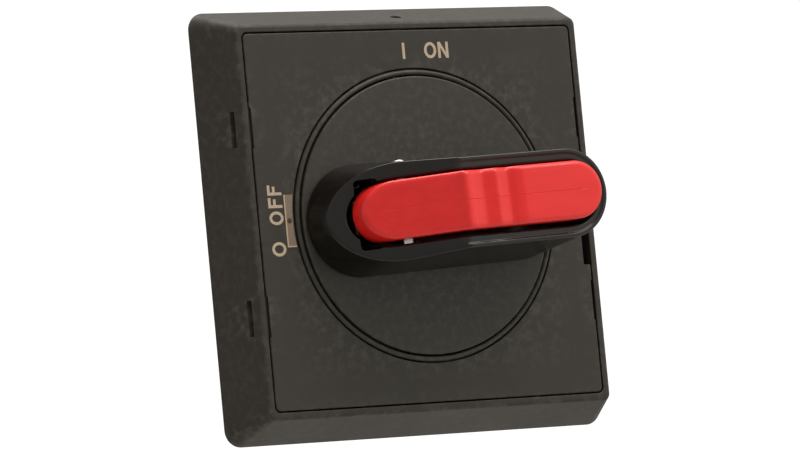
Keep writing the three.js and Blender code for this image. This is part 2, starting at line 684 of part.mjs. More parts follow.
function leverSpring() {
  const wound = coil(SPRING_RADIUS, SPRING_TURNS, SPRING_PITCH, SPRING_WIRE, COIL_STEPS);
  wound.translate(PIN_X, FACE - PIN_HEIGHT, LEVER_Z - SPRING_PITCH * SPRING_TURNS / 2);
  return solid(wound);
}

function lockTongue() {
  const half = TONGUE_WIDTH / 2;
  return block(TONGUE_X - TONGUE_THICKNESS / 2, TONGUE_X + TONGUE_THICKNESS / 2,
    FACE - TONGUE_TOP, FACE - TONGUE_BOTTOM, -half, half);
}

// ---------------------------------------------------------------- fixings
function fixingScrew(x, z) {
  const headRear = FLOOR - GAP;
  const head = bar(FIXING_HEAD_RADIUS, headRear, headRear - FIXING_HEAD_HEIGHT, x, z);
  const shank = bar(FIXING_SHANK_RADIUS, FIXING_TIP, headRear - FIXING_HEAD_HEIGHT / 2, x, z);
  const { reach, half, floor } = CROSS_RECESS;
  const slots = [[reach, half], [half, reach]].map(([a, b]) =>
    block(x - a, x + a, headRear - FIXING_HEAD_HEIGHT - OVER, headRear - floor, z - b, z + b));
  return cut(joined(head, shank), ...slots);
}

function fixingNut(x, z) {
  const hexRadius = NUT_ACROSS_FLATS / Math.sqrt(3);
  return cut(bar(hexRadius, NUT_FRONT + NUT_HEIGHT, NUT_FRONT, x, z, HEXAGON),
    bar(FIXING_SHANK_RADIUS + GAP, NUT_FRONT + NUT_HEIGHT + OVER, NUT_FRONT - OVER, x, z));
}

// ---------------------------------------------------------------- assembly
const fixedParts = new THREE.Group();
fixedParts.add(
  named('bezel_frame', bezelFrame(), HOUSING_PLASTIC),
  named('panel_gasket', panelGasket(), RUBBER),
  named('cover_plate', coverPlate(), PLATE_PLASTIC),
  named('bead_ring', beadRing(), HOUSING_PLASTIC),
  named('lock_ring', lockRing(), STEEL),
  named('hub_bush', hubBush(), ACETAL),
  named('hub_seal', hubSeal(), RUBBER),
  named('release_slider', releaseSlider(), ACETAL),
  named('release_spring', releaseSpring(), STEEL),
);
ringScrewPlaces().forEach(([x, z], i) => {
  fixedParts.add(named(`lock_ring_screw_${i + 1}`, ringScrew(x, z), STEEL));
});
corners(FIXING_OFFSET).forEach(([x, z], i) => {
  fixedParts.add(named(`fixing_screw_${i + 1}`, fixingScrew(x, z), STEEL));
  fixedParts.add(named(`fixing_nut_${i + 1}`, fixingNut(x, z), STEEL));
});

// Everything that turns with the handle, set at its OFF stop.
const lever = named('lock_lever', lockLever(), LEVER_PLASTIC);
lever.position.z = LEVER_Z;
const rotor = new THREE.Group();
rotor.rotation.y = OFF_TILT;
rotor.add(
  named('dial_disc', dialDisc(), DISC_PLASTIC),
  named('drive_hub', driveHub(), GRIP_PLASTIC),
  named('thrust_washer', tube(WASHER.inner, WASHER.outer, WASHER.rear, WASHER.front), ACETAL),
  named('retaining_clip', retainingClip(), STEEL),
  named('shaft_coupler', shaftCoupler(), ZINC),
  named('coupler_set_screw', setScrew(), STEEL),
  named('hub_screw', hubScrew(), STEEL),
  named('handle_grip', handleGrip(), GRIP_PLASTIC),
  lever,
  named('lever_pin', leverPin(), STEEL),
  named('lever_spring', leverSpring(), STEEL),
  named('lock_tongue', lockTongue(), ZINC),
);

const handle = new THREE.Group();
handle.add(fixedParts, rotor);
export default handle;
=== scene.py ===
import math

import bmesh
import bpy
from mathutils import Matrix, Vector


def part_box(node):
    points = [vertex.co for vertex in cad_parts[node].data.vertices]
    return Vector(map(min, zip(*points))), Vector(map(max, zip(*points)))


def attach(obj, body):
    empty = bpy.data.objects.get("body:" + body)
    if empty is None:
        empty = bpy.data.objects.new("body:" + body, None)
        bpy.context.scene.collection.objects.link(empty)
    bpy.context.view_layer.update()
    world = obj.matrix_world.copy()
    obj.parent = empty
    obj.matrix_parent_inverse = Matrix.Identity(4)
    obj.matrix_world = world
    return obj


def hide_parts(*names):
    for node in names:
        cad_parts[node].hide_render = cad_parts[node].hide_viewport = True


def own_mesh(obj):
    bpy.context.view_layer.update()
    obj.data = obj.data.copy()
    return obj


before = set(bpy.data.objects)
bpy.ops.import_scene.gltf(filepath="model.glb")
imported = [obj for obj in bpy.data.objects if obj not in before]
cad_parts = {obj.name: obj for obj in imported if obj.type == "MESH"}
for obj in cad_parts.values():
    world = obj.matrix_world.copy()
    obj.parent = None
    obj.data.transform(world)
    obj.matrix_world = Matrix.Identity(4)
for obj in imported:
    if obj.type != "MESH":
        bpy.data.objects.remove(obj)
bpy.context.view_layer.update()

# The looks of a lockable rotary isolator handle. Lengths are millimetres until a mesh is made.
# X is right, Z up, and the handle stands out of the door towards -Y. Heights are measured from the
# front face of the housing, and pieces of the handle are shaped level and then turned to the OFF stop.
MM = 0.001
QUARTER = math.pi / 2
OVER = 1                  # how far a cutter passes the surface it opens
SAME_POINT = 1e-7         # metres between points that count as one
WORN_BEND = 0.9           # radians of convex bend that wear as a full edge
OFF_TILT = math.radians(-2.5)
HANDLE_TRAVEL = math.radians(92.5)
TURNING_BODIES = ("handle", "lever", "tongue")


def extent(node):
    """Lowest and highest corner of a CAD node, in millimetres."""
    low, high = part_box(node)
    return low / MM, high / MM


# ---------------------------------------------------------------- sizes
FRAME_LOW, FRAME_HIGH = extent("bezel_frame")
BASE_HALF = FRAME_HIGH.x
FACE = FRAME_LOW.y
FACE_HALF = BASE_HALF - 4.5
FLOOR = -3
WELL_HALF = 39.1
SPIGOT_RADIUS = 18.2
SPIGOT_BORE = 14.9
SPIGOT_FRONT = -5
RIDGE_SOFTNESS = 1.0
HOOK_Z = 19.4
HOOK_HALF = 3.4
WINDOW_LENGTH = 7.4
WINDOW_FRONT = -10.1
WINDOW_REAR = -8.9
RELIEF_DEPTH = 1.1
FIXING_OFFSET = 32
RELEASE_HOLE = {"radius": 1.2, "y": -7.65}

PLATE_HALF = 38.8
PLATE_BACK = FACE + 1.8
OPENING_RADIUS = 30.75
SIDE_NOTCH = {"depth": 1.6, "half": 11.9}

BEAD_INNER = 29.35
BEAD_OUTER = 30.45
BEAD_RISE = 0.3
BEAD_FLANGE = {"radius": 33.5, "front": -10.1, "rear": -9.7}
DISC_RADIUS = 29.05
DISC_FRONT = FACE - 0.6
DISC_BACK = FACE + 2

INK_FRONT = 0.03
INK_ROOT = 0.05
# The indicator's strip along its left and bottom edges is a painted highlight, 0.28 mm wide.
INDICATOR = {"left": -32.8, "half": 5.4, "painted_highlight": 0.28, "dot_x": -31.85, "dot_radius": 0.55}

GRIP_FOOT = 0.9
GRIP_TOP = 23.8
GRIP_FOOT_ENDS = ((-16.7, 11.7), (20.9, 11.3))
GRIP_WALL_ENDS = ((-16.5, 11.7), (20.9, 11.3))
GRIP_TOP_ENDS = ((-11.8, 9.35), (20.7, 9.2))
RAMP_TOP_X = -4.5
RAMP_SLOPE = 0.78
RAMP_BLEND = 0.7
TROUGH_ENDS = ((-16.65, 6.65), (21.45, 6.65))
TROUGH_FLOOR = 7.5
HEEL_FLOOR = 4.5
HEEL_FLOOR_END = -9
LIP_WIDTH = 0.75
LEDGE_DROP = 0.22
LEDGE_STEP = 0.35
RAMP_SOFTNESS = 1.7
RIM_SOFTNESS = 0.5
INNER_SOFTNESS = 0.8
CHEEK_POCKET = {"left": -21.8, "right": -17.8, "low": -7, "high": 7.5, "floor": 6}

PIN = {"x": -12.5, "height": 13.6, "radius": 1.2, "low": -9, "high": 10.6}
PIN_HOLE = 1.4
LEVER_HALF = 6
LEVER_Z = 0.3
LEVER_ENDS = ((-16.2, LEVER_HALF), (21.0, LEVER_HALF))
LEVER_HEEL_BOTTOM = 9
LEVER_SLAB_BOTTOM = 21.4
LEVER_SOFTNESS = 1.1
LEVER_TOP = ((-22, 13.8), (-6.3, 25.7), (-5.1, 26.8), (-4.2, 26.9), (-2.6, 26.4), (-0.6, 25.95),
             (1.0, 26.4), (2.4, 26.8), (4.0, 26.3), (5.4, 25.95), (7.0, 26.6), (8.4, 26.96),
             (9.6, 27.02), (11.0, 27.04), (27.1, 27.25))
PARTING_LINE = {"half": 0.08, "depth": 0.07}
WEB = {"left": -4, "right": 25, "bottom": 8.5, "half": 3.6}
PADLOCK_SLOT = {"left": 1, "right": 22, "low": 10.4, "high": 17.6}
SPRING_SLOT = {"reach": 4.2, "half": 1.9, "top": 16.9}
TONGUE = {"x": -20.3, "thickness": 2.5, "width": 7, "top": 8.7, "bottom": -6.3}
TONGUE_CLEARANCE = 0.5
RING = {"inner": 19.3, "outer": 25.4, "front": -5.5, "rear": -3.3, "screws": 23.8}
HUB_SCREW_HOLE = 2.5


# ---------------------------------------------------------------- mesh helpers
def mix(a, b, t):
    return a + (b - a) * t


def smooth_step(low, high, value):
    t = min(1, max(0, (value - low) / (high - low)))
    return t * t * (3 - 2 * t)


def soften(points, reach, steps=4, closed=True):
    """The path with its corners rounded; reach is how far the rounding goes from each corner."""
    points = [Vector(p) for p in points]
    reaches = reach if isinstance(reach, (list, tuple)) else [reach] * len(points)
    path = []
    for i, corner in enumerate(points):
        if reaches[i] == 0 or (not closed and i in (0, len(points) - 1)):
            path.append(corner)
            continue
        before = points[i - 1] - corner
        after = points[(i + 1) % len(points)] - corner
        length = min(reaches[i], 0.45 * before.length, 0.45 * after.length)
        start = corner + before.normalized() * length
        end = corner + after.normalized() * length
        for step in range(steps + 1):
            t = step / steps
            path.append(start.lerp(corner, t).lerp(corner.lerp(end, t), t))
    return path


def add_object(name, data):
    obj = bpy.data.objects.new(name, data)
    bpy.context.scene.collection.objects.link(obj)
    return obj


def open_mesh(mesh):
    """An editable copy of a mesh, which store_mesh writes back."""
    build = bmesh.new()
    build.from_mesh(mesh)
    return build


def store_mesh(build, mesh):
    build.to_mesh(mesh)
    build.free()


def evaluated_mesh(obj):
    """The mesh of an object once its modifiers or its curve settings are applied."""
    graph = bpy.context.evaluated_depsgraph_get()
    return bpy.data.meshes.new_from_object(obj.evaluated_get(graph))


def piece(name, points, faces):
    """A closed mesh object from points in millimetres, its faces turned outwards."""
    mesh = bpy.data.meshes.new(name)
    mesh.from_pydata([Vector(p) * MM for p in points], [], faces)
    build = open_mesh(mesh)
    bmesh.ops.remove_doubles(build, verts=build.verts, dist=SAME_POINT)
    bmesh.ops.dissolve_degenerate(build, edges=build.edges, dist=SAME_POINT)
    bmesh.ops.recalc_face_normals(build, faces=build.faces)
    store_mesh(build, mesh)
    return add_object(name, mesh)


def ring_faces(count, rings, wrap):
    faces = []
    for k in range(rings if wrap else rings - 1):
        a = k * count
        b = (k + 1) % rings * count
        for i in range(count):
            j = (i + 1) % count
            faces.append((a + i, a + j, b + j, b + i))
    return faces


def loft(name, rings, wrap=False):
    """Quads between rings that have the same number of points. Open ends are closed flat."""
    count = len(rings[0])
    faces = ring_faces(count, len(rings), wrap)
    if not wrap:
        last = (len(rings) - 1) * count
        faces.append(tuple(range(count)))
        faces.append(tuple(range(last, last + count)))
    return piece(name, [p for ring in rings for p in ring], faces)


def circle(radius, y, sides, x=0, z=0):
    return [(x + radius * math.cos(2 * math.pi * i / sides), y,
             z + radius * math.sin(2 * math.pi * i / sides)) for i in range(sides)]


def lathe(name, profile, softness=0.2, sides=96, closed=True):
    """A closed profile of (radius, y) turned round the Y axis. An open one starts and ends on it."""
    path = soften([(r, y, 0) for r, y in profile], softness, closed=closed)
    rings = [circle(p.x, p.y, sides) for p in path]
    return loft(name, rings, wrap=closed)


def rod(radius, front, rear, x=0, z=0, sides=48):
    return loft("rod", [circle(radius, front, sides, x, z), circle(radius, rear, sides, x, z)])


def cross_rod(radius, low, high, x, y, sides=32):
    """A round bar along Z."""
    rings = [[(x + px, y + pz, end) for px, _, pz in circle(radius, 0, sides)] for end in (low, high)]
    return loft("cross_rod", rings)


def block(low, high, softness=0.0):
    """A box between two corners with rounded edges."""
    low, high = Vector(low), Vector(high)
    corners = [(x, y, z) for x in (low.x, high.x) for y in (low.y, high.y) for z in (low.z, high.z)]
    faces = [(0, 1, 3, 2), (4, 6, 7, 5), (0, 4, 5, 1), (2, 3, 7, 6), (0, 2, 6, 4), (1, 5, 7, 3)]
    obj = piece("block", corners, faces)
    if softness:
        build = open_mesh(obj.data)
        bmesh.ops.bevel(build, geom=build.edges, offset=softness * MM, segments=3, profile=0.5,
                        affect="EDGES")
        store_mesh(build, obj.data)
    return obj


def combine(obj, tools, operation):
    """Joins tools to the object, or cuts them from it, and removes the tools."""
    for tool in tools:
        modifier = obj.modifiers.new("combine", "BOOLEAN")
        modifier.operation = operation
        modifier.solver = "EXACT"
        modifier.object = tool
        result = evaluated_mesh(obj)
        obj.modifiers.clear()
        obj.data = result
        bpy.data.objects.remove(tool)
    return obj


def cut(obj, *tools):
    return combine(obj, tools, "DIFFERENCE")


def join(obj, *tools):
    return combine(obj, tools, "UNION")


def turn(obj, angle, axis="Y"):
    obj.data.transform(Matrix.Rotation(angle, 4, axis))
    return obj


def move(obj, x=0, y=0, z=0):
    obj.data.transform(Matrix.Translation(Vector((x, y, z)) * MM))
    return obj


def merge(name, objects):
    """One object that holds the separate closed meshes of several."""
    build = bmesh.new()
    for obj in objects:
        build.from_mesh(obj.data)
        bpy.data.objects.remove(obj)
    mesh = bpy.data.meshes.new(name)
    store_mesh(build, mesh)
    return add_object(name, mesh)


def mark_edges(mesh):
    """Stores how far each point sits on a convex edge, from 0 to 1, for wear in the materials."""
    build = open_mesh(mesh)
    layer = build.verts.layers.float.new("edge_wear")
    for vert in build.verts:
        bend = sum(max(0, edge.calc_face_angle_signed(0)) for edge in vert.link_edges)
        vert[layer] = min(1, bend / WORN_BEND)
    store_mesh(build, mesh)


def finished(obj, name, body, slot, material, *nodes, sharp=35):
    """Gives a shaped piece its name, place, smooth shading and material, and hides the CAD nodes it
    replaces.
    """
    obj.name = name
    obj.data.name = name
    if body in TURNING_BODIES:
        turn(obj, OFF_TILT)
    mark_edges(obj.data)
    obj.data.shade_smooth()
    obj.data.set_sharp_from_angle(angle=math.radians(sharp))
    normals = obj.modifiers.new("weighted_normals", "WEIGHTED_NORMAL")
    normals.keep_sharp = True
    obj.data.materials.clear()
    obj.data.materials.append(material)
    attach(obj, body)
    if nodes:
        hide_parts(*nodes)
    return obj


# ---------------------------------------------------------------- outlines
def square_ring(half, corner, y, corner_steps=8, side_steps=32):
    """A rounded square whose points can be matched with a circle's."""
    straight = half - corner
    ring = []
    for k in range(4):
        middle = Vector((straight, straight)) if k % 2 == 0 else Vector((-straight, straight))
        middle *= 1 if k < 2 else -1
        arc = [middle + corner * Vector((math.cos(k * QUARTER + QUARTER * i / corner_steps),
                                         math.sin(k * QUARTER + QUARTER * i / corner_steps)))
               for i in range(corner_steps + 1)]
        following = Vector((-arc[0].y, arc[0].x))
        ring += arc
        ring += [arc[-1].lerp(following, i / side_steps) for i in range(1, side_steps)]
    return [(p.x, y, p.y) for p in ring]


def round_ring(radius, y, like):
    """A circle with a point at the same bearing as each point of another ring."""
    ring = []
    for x, _, z in like:
        length = math.hypot(x, z)
        ring.append((x * radius / length, y, z * radius / length))
    return ring


def stadium_stations(ends, arc_steps, side_steps):
    """Where the points of a stadium lie: the share of an end's arc, or the X along its sides."""
    (left_x, _), (right_x, _) = ends
    upper = [("left", i / arc_steps, 1, left_x) for i in range(arc_steps)]
    upper += [("side", mix(left_x, right_x, i / side_steps), 1, 0) for i in range(side_steps)]
    upper += [("right", 1 - i / arc_steps, 1, right_x) for i in range(arc_steps + 1)]
    return upper + [(part, value, -1, limit) for part, value, _, limit in reversed(upper[1:-1])]


def on_stadium(station, ends, inset=0):
    """X and Z of a station on a stadium with these (x, radius) ends. Sides keep their X."""
    part, value, sign, limit = station
    (left_x, left_radius), (right_x, right_radius) = ends
    left_radius -= inset
    right_radius -= inset
    if part == "left":
        angle = value * math.acos(max(0, left_x - limit) / left_radius)
        return left_x - left_radius * math.cos(angle), sign * left_radius * math.sin(angle)
    if part == "right":
        angle = value * math.acos(max(0, limit - right_x) / right_radius)
        return right_x + right_radius * math.cos(angle), sign * right_radius * math.sin(angle)
    if value < left_x:
        return value, sign * math.sqrt(left_radius ** 2 - (left_x - value) ** 2)
    if value > right_x:
        return value, sign * math.sqrt(right_radius ** 2 - (value - right_x) ** 2)
    return value, sign * mix(left_radius, right_radius, (value - left_x) / (right_x - left_x))


def bridge_faces(start, count):
    """Faces straight across a stadium ring, between the points on its two sides."""
    half = count // 2
    faces = [(start, start + 1, start + count - 1)]
    for i in range(1, half - 1):
        faces.append((start + i, start + i + 1, start + count - i - 1, start + count - i))
    faces.append((start + half - 1, start + half, start + half + 1))
    return faces


def at_height(x, z, height):
    return (x, FACE - height, z)


def corners(offset):
    return [(sx * offset, sz * offset) for sx, sz in ((-1, 1), (1, 1), (1, -1), (-1, -1))]


# ---------------------------------------------------------------- materials
def feed(tree, node, inputs):
    """Sets a node's inputs to plain values, or links them to other nodes' outputs."""
    for name, value in inputs.items():
        if isinstance(value, bpy.types.NodeSocket):
            tree.links.new(value, node.inputs[name])
        else:
            node.inputs[name].default_value = value
    return node


def principled(name, color, roughness, metallic=0.0, specular=0.5):
    material = bpy.data.materials.new(name)
    material.use_nodes = True
    tree = material.node_tree
    shader = feed(tree, tree.nodes["Principled BSDF"], {
        "Base Color": (*color, 1), "Roughness": roughness, "Metallic": metallic,
        "Specular IOR Level": specular})
    return material, tree, shader


def noise(tree, size, detail=3, stretch=(1, 1, 1), rough=0.55):
    """Noise whose features are about size millimetres across, stretched along an axis."""
    place = tree.nodes.new("ShaderNodeTexCoord")
    scale = feed(tree, tree.nodes.new("ShaderNodeMapping"), {
        "Vector": place.outputs["Object"], "Scale": [1 / (size * MM * s) for s in stretch]})
    texture = feed(tree, tree.nodes.new("ShaderNodeTexNoise"), {
        "Vector": scale.outputs["Vector"], "Scale": 1, "Detail": detail, "Roughness": rough})
    return texture.outputs["Fac"]


def remap(tree, value, low, high, from_low=0.3, from_high=0.7):
    node = feed(tree, tree.nodes.new("ShaderNodeMapRange"), {
        "Value": value, "From Min": from_low, "From Max": from_high, "To Min": low, "To Max": high})
    return node.outputs["Result"]


def blend_colors(tree, amount, low, high):
    """A colour between two, each a plain colour or another node's output."""
    node = tree.nodes.new("ShaderNodeMix")
    node.data_type = "RGBA"
    low, high = ((*value, 1) if isinstance(value, tuple) else value for value in (low, high))
    feed(tree, node, {"Factor": amount, 6: low, 7: high})
    return node.outputs[2]


def dress(tree, shader, color, gloss, *layers):
    """Links colour, roughness and bump layers, each a height output and a depth in millimetres."""
    under = {}
    for height, depth in layers:
        node = feed(tree, tree.nodes.new("ShaderNodeBump"), {
            "Strength": 1, "Distance": depth * MM, "Height": height, **under})
        under = {"Normal": node.outputs["Normal"]}
    feed(tree, shader, {"Base Color": color, "Roughness": gloss, **under})


def edge_wear(tree, size, amount):
    """Patchy wear that sits on convex edges."""
    attribute = tree.nodes.new("ShaderNodeAttribute")
    attribute.attribute_name = "edge_wear"
    patches = remap(tree, noise(tree, size, detail=4), 0, amount, 0.45, 0.7)
    product = tree.nodes.new("ShaderNodeMath")
    product.operation = "MULTIPLY"
    product.use_clamp = True
    feed(tree, product, {0: attribute.outputs["Fac"], 1: patches})
    return product.outputs["Value"]


def moulded_plastic(name, color, roughness, grain=0.45, depth=0.012, wear=0.5, drift=0.04,
                    gloss_drift=0.03, specular=0.4, worn=None):
    """Moulded plastic: fine spark-eroded grain, slow colour drift, worn edges, faint rub marks."""
    material, tree, shader = principled(name, color, roughness, specular=specular)
    darker = tuple(c * (1 - drift) for c in color)
    lighter = tuple(c * (1 + drift) for c in color)
    worn = worn or tuple(min(1, 2.6 * c + 0.03) for c in color)
    body = blend_colors(tree, remap(tree, noise(tree, 9, detail=4), 0, 1), darker, lighter)
    speck = remap(tree, noise(tree, 0.6, detail=2), 0, 0.2, 0.5, 0.75)
    body = blend_colors(tree, speck, body, lighter)
    body = blend_colors(tree, edge_wear(tree, 1.6, wear), body, worn)
    rubbed = noise(tree, 14, detail=5)
    gloss = remap(tree, rubbed, roughness - gloss_drift, roughness + gloss_drift)
    dress(tree, shader, body, gloss, (noise(tree, grain, detail=3), depth),
          (noise(tree, 11, detail=1), 0.02))
    return material


def lever_red(name, color, roughness):
    """Glossy red plastic with flow marks along the lever and rubbed spots."""
    material, tree, shader = principled(name, color, roughness, specular=0.4)
    flow = remap(tree, noise(tree, 2.2, detail=3, stretch=(7, 1, 1)), 0, 1)
    deep = tuple(c * 0.95 for c in color)
    pale = (min(1, color[0] * 1.04), color[1] * 1.2 + 0.002, color[2] * 1.2 + 0.002)
    body = blend_colors(tree, flow, deep, pale)
    body = blend_colors(tree, edge_wear(tree, 0.4, 0.25), body, (0.82, 0.13, 0.11))
    gloss = remap(tree, noise(tree, 5, detail=5), roughness - 0.03, roughness + 0.04)
    dress(tree, shader, body, gloss, (noise(tree, 0.35, detail=2), 0.004),
          (noise(tree, 6, detail=1), 0.01))
    return material


def plated_steel(name, color, roughness):
    """Zinc-plated steel with fine tool marks and a faint uneven tint."""
    material, tree, shader = principled(name, color, roughness, metallic=1)
    tint = remap(tree, noise(tree, 2.4, detail=4), 0, 1)
    warm = (color[0] * 1.05, color[1] * 0.98, color[2] * 0.86)
    gloss = remap(tree, noise(tree, 0.8, detail=5), roughness - 0.08, roughness + 0.14)
    dress(tree, shader, blend_colors(tree, tint, color, warm), gloss,
          (noise(tree, 0.12, detail=2, stretch=(1, 1, 6)), 0.004))
    return material


def cast_zinc(name, color, roughness):
    """Die-cast zinc: dull, slightly pitted, with darker patches."""
    material, tree, shader = principled(name, color, roughness, metallic=1)
    stain = remap(tree, noise(tree, 3, detail=5), 0, 1)
    dull = tuple(c * 0.68 for c in color)
    gloss = remap(tree, noise(tree, 1.2, detail=4), roughness - 0.08, roughness + 0.15)
    dress(tree, shader, blend_colors(tree, stain, dull, color), gloss,
          (noise(tree, 0.35, detail=4), 0.02))
    return material


def printed_ink(name, color, thin):
    """Pad-printed ink, mottled where it is thin."""
    material, tree, shader = principled(name, color, 0.62)
    under = tuple(c * 0.45 for c in color)
    coarse = remap(tree, noise(tree, 1.4, detail=5, rough=0.7), 0, 1)
    patchy = remap(tree, noise(tree, 0.28, detail=3, rough=0.7), 0, thin, 0.35, 0.75)
    body = blend_colors(tree, coarse, tuple(c * (1 - 0.4 * thin) for c in color), color)
    gloss = remap(tree, noise(tree, 0.5, detail=3), 0.5, 0.72)
    dress(tree, shader, blend_colors(tree, patchy, body, under), gloss,
          (noise(tree, 0.2, detail=3), 0.01))
    return material


HOUSING_PLASTIC = moulded_plastic("housing_plastic", (0.0245, 0.0208, 0.016), 0.5, depth=0.012,
                                  specular=0.25)
PLATE_PLASTIC = moulded_plastic("plate_plastic", (0.0282, 0.0257, 0.0205), 0.44, grain=0.35,
                                depth=0.007, wear=0.35, specular=0.22)
DISC_PLASTIC = moulded_plastic("disc_plastic", (0.032, 0.0293, 0.0235), 0.38, grain=0.3,
                               depth=0.003, wear=0.35, specular=0.22)
# The black grip plastic also paints shade on the lock tongue, which shows through the gap of the
# trough.
GRIP_PLASTIC_AND_TONGUE_SHADE = moulded_plastic("grip_plastic", (0.0055, 0.0042, 0.003), 0.2, grain=0.6, depth=0.0006,
                               wear=0.25, gloss_drift=0.04, specular=0.36)
LEVER_PLASTIC = lever_red("lever_plastic", (0.63, 0.0105, 0.009), 0.32)
STEEL = plated_steel("plated_steel", (0.66, 0.66, 0.67), 0.26)
ZINC = cast_zinc("cast_zinc", (0.52, 0.53, 0.55), 0.42)
ACETAL = moulded_plastic("acetal", (0.68, 0.65, 0.57), 0.42, wear=0.1, drift=0.05,
                         worn=(0.8, 0.78, 0.72))
RUBBER = moulded_plastic("rubber", (0.02, 0.02, 0.02), 0.78, grain=0.25, depth=0.03, wear=0.2)
# This marking ink also paints the highlight strip along the indicator patch's left and bottom edges.
INK_AND_PAINTED_HIGHLIGHT = printed_ink("marking_ink_and_painted_highlight", (0.42, 0.33, 0.23), 0.35)
PATCH_INK = printed_ink("patch_ink", (0.2, 0.14, 0.09), 0.6)


# ---------------------------------------------------------------- housing
def frame_rings():
    squares = soften([
        (BASE_HALF - 10, 3.0, 0), (BASE_HALF, 3.6, 0), (FACE_HALF, 1.4, FACE),
        (WELL_HALF, 1.3, FACE), (WELL_HALF, 1.3, FLOOR), (WELL_HALF - 8, 3.0, FLOOR),
    ], [0, 0.35, RIDGE_SOFTNESS, 0.2, 0.4, 0], closed=False)
    rings = [square_ring(half, corner, y) for half, corner, y in squares]
    boss = soften([
        (SPIGOT_RADIUS, FLOOR, 0), (SPIGOT_RADIUS, SPIGOT_FRONT, 0), (SPIGOT_BORE, SPIGOT_FRONT, 0),
        (SPIGOT_BORE, FRAME_HIGH.y, 0), (SPIGOT_RADIUS, FRAME_HIGH.y, 0), (SPIGOT_RADIUS, 0, 0),
    ], 0.3, closed=False)
    return rings + [round_ring(p.x, p.y, rings[0]) for p in boss]


def hook_places():
    """The side and the Z of each of the four snap hooks and their windows."""
    return [(side, z) for side in (-1, 1) for z in (-HOOK_Z, HOOK_Z)]


def span(side, near, far):
    """The lower and higher X between two distances from the middle, on one side."""
    return sorted((side * near, side * far))


def window_cutters():
    cutters = []
    for side, z in hook_places():
        low, high = span(side, WELL_HALF - OVER, BASE_HALF + OVER)
        cutters.append(block((low, WINDOW_FRONT, z - WINDOW_LENGTH / 2),
                             (high, WINDOW_REAR, z + WINDOW_LENGTH / 2)))
    return cutters


def back_relief_cutter():
    """The shallow space on the back, round the ribs, the boss and the screw pads."""
    relief = loft("relief", [square_ring(36.5, 3, y) for y in (-RELIEF_DEPTH, OVER)])
    ribs = []
    for k in range(4):
        ribs.append(turn(block((-1.2, -4, -80), (1.2, 4, 80)), k * math.pi / 4))
    pads = [rod(5, -4, 2, x, z) for x, z in corners(FIXING_OFFSET)]
    return cut(relief, rod(22, -4, 2, sides=96), *ribs, *pads)


def gasket_rings(outer, inner, rear, front, softness):
    path = soften([(outer, 2, rear), (outer, 2, front), (inner, 2, front), (inner, 2, rear)], softness)
    return [square_ring(half, corner, y) for half, corner, y in path]


def tongue_pocket(turned, front, rear, softness=0.3):
    """Leaves room for the tongue, where it is when the handle is turned by an angle."""
    x = TONGUE["x"]
    reach = TONGUE["thickness"] / 2 + TONGUE_CLEARANCE
    half = TONGUE["width"] / 2 + TONGUE_CLEARANCE
    return turn(block((x - reach, front, -half), (x + reach, rear, half), softness), turned)


def ring_screw_places():
    reach = RING["screws"] / math.sqrt(2)
    return [(reach, reach), (-reach, -reach)]


def slider_guide():
    rail = block((-4.8, -9.4, 26.2), (4.8, FLOOR + 0.5, 37), 0.3)
    channel = block((-3.3, -10.4, 25), (3.3, -5.9, 38.2))
    post = block((-1.7, -9.1, 27.5), (1.7, FLOOR + 0.5, 28.8), 0.2)
    return join(cut(rail, channel), post)


def bezel_frame():
    body = loft("bezel_frame", frame_rings(), wrap=True)
    body = join(body, slider_guide())
    holes = [rod(2.3, FLOOR - OVER, OVER, x, z) for x, z in corners(FIXING_OFFSET)]
    screw_holes = [rod(1.5, FLOOR - OVER, FLOOR + 1.8, x, z) for x, z in ring_screw_places()]
    release = cross_rod(RELEASE_HOLE["radius"], WELL_HALF - OVER, BASE_HALF, 0, RELEASE_HOLE["y"])
    groove = loft("groove", gasket_rings(42, 39, 1, -1.5, 0), wrap=True)
    pockets = [tongue_pocket(OFF_TILT + a, FLOOR - OVER, FLOOR + 1.6) for a in (0, HANDLE_TRAVEL)]
    cut(body, back_relief_cutter(), groove, release, *holes, *screw_holes, *window_cutters(), *pockets)
    finished(body, "bezel_frame_shell", "housing", "housing_plastic", HOUSING_PLASTIC, "bezel_frame")


def panel_gasket():
    low, high = extent("panel_gasket")
    rings = gasket_rings(high.x, 39.3, high.y, low.y, 0.35)
    gasket = loft("gasket", rings, wrap=True)
    finished(gasket, "gasket_strip", "housing", "rubber", RUBBER, "panel_gasket")


def snap_hooks():
    hooks = []
    for side, z in hook_places():
        leg = span(side, PLATE_HALF - 1.2, PLATE_HALF - 0.1)
        lip = span(side, PLATE_HALF - 0.5, PLATE_HALF + 1.5)
        hooks.append(block((leg[0], FACE + 1, z - HOOK_HALF), (leg[1], -8.7, z + HOOK_HALF), 0.15))
        hooks.append(block((lip[0], -9.8, z - HOOK_HALF), (lip[1], -9.2, z + HOOK_HALF), 0.12))
    return hooks


def cover_plate():
    squares = soften([
        (PLATE_HALF - 4, 1, PLATE_BACK), (PLATE_HALF, 1, PLATE_BACK), (PLATE_HALF, 1, FACE),
        (PLATE_HALF - 4, 1, FACE),
    ], [0, 0.2, 0.3, 0], closed=False)
    rings = [square_ring(half, corner, y) for half, corner, y in squares]
    opening = [(OPENING_RADIUS + 0.3, FACE), (OPENING_RADIUS + 0.09, FACE + 0.09),
               (OPENING_RADIUS, FACE + 0.3), (OPENING_RADIUS, PLATE_BACK)]
    rings += [round_ring(radius, y, rings[0]) for radius, y in opening]
    plate = loft("plate", rings, wrap=True)
    notch = block((PLATE_HALF - SIDE_NOTCH["depth"], FACE - OVER, -SIDE_NOTCH["half"]),
                  (PLATE_HALF + OVER, PLATE_BACK + OVER, SIDE_NOTCH["half"]), 0.3)
    reliefs = []
    for side, z in hook_places():
        low, high = span(side, PLATE_HALF - 0.35, PLATE_HALF + OVER)
        reliefs.append(block((low, FACE - OVER, z - 4.2), (high, FACE + 0.6, z + 4.2)))
    plate = cut(join(plate, *snap_hooks()), notch, *reliefs)
    finished(plate, "cover_plate_shell", "housing", "plate_plastic", PLATE_PLASTIC, "cover_plate")


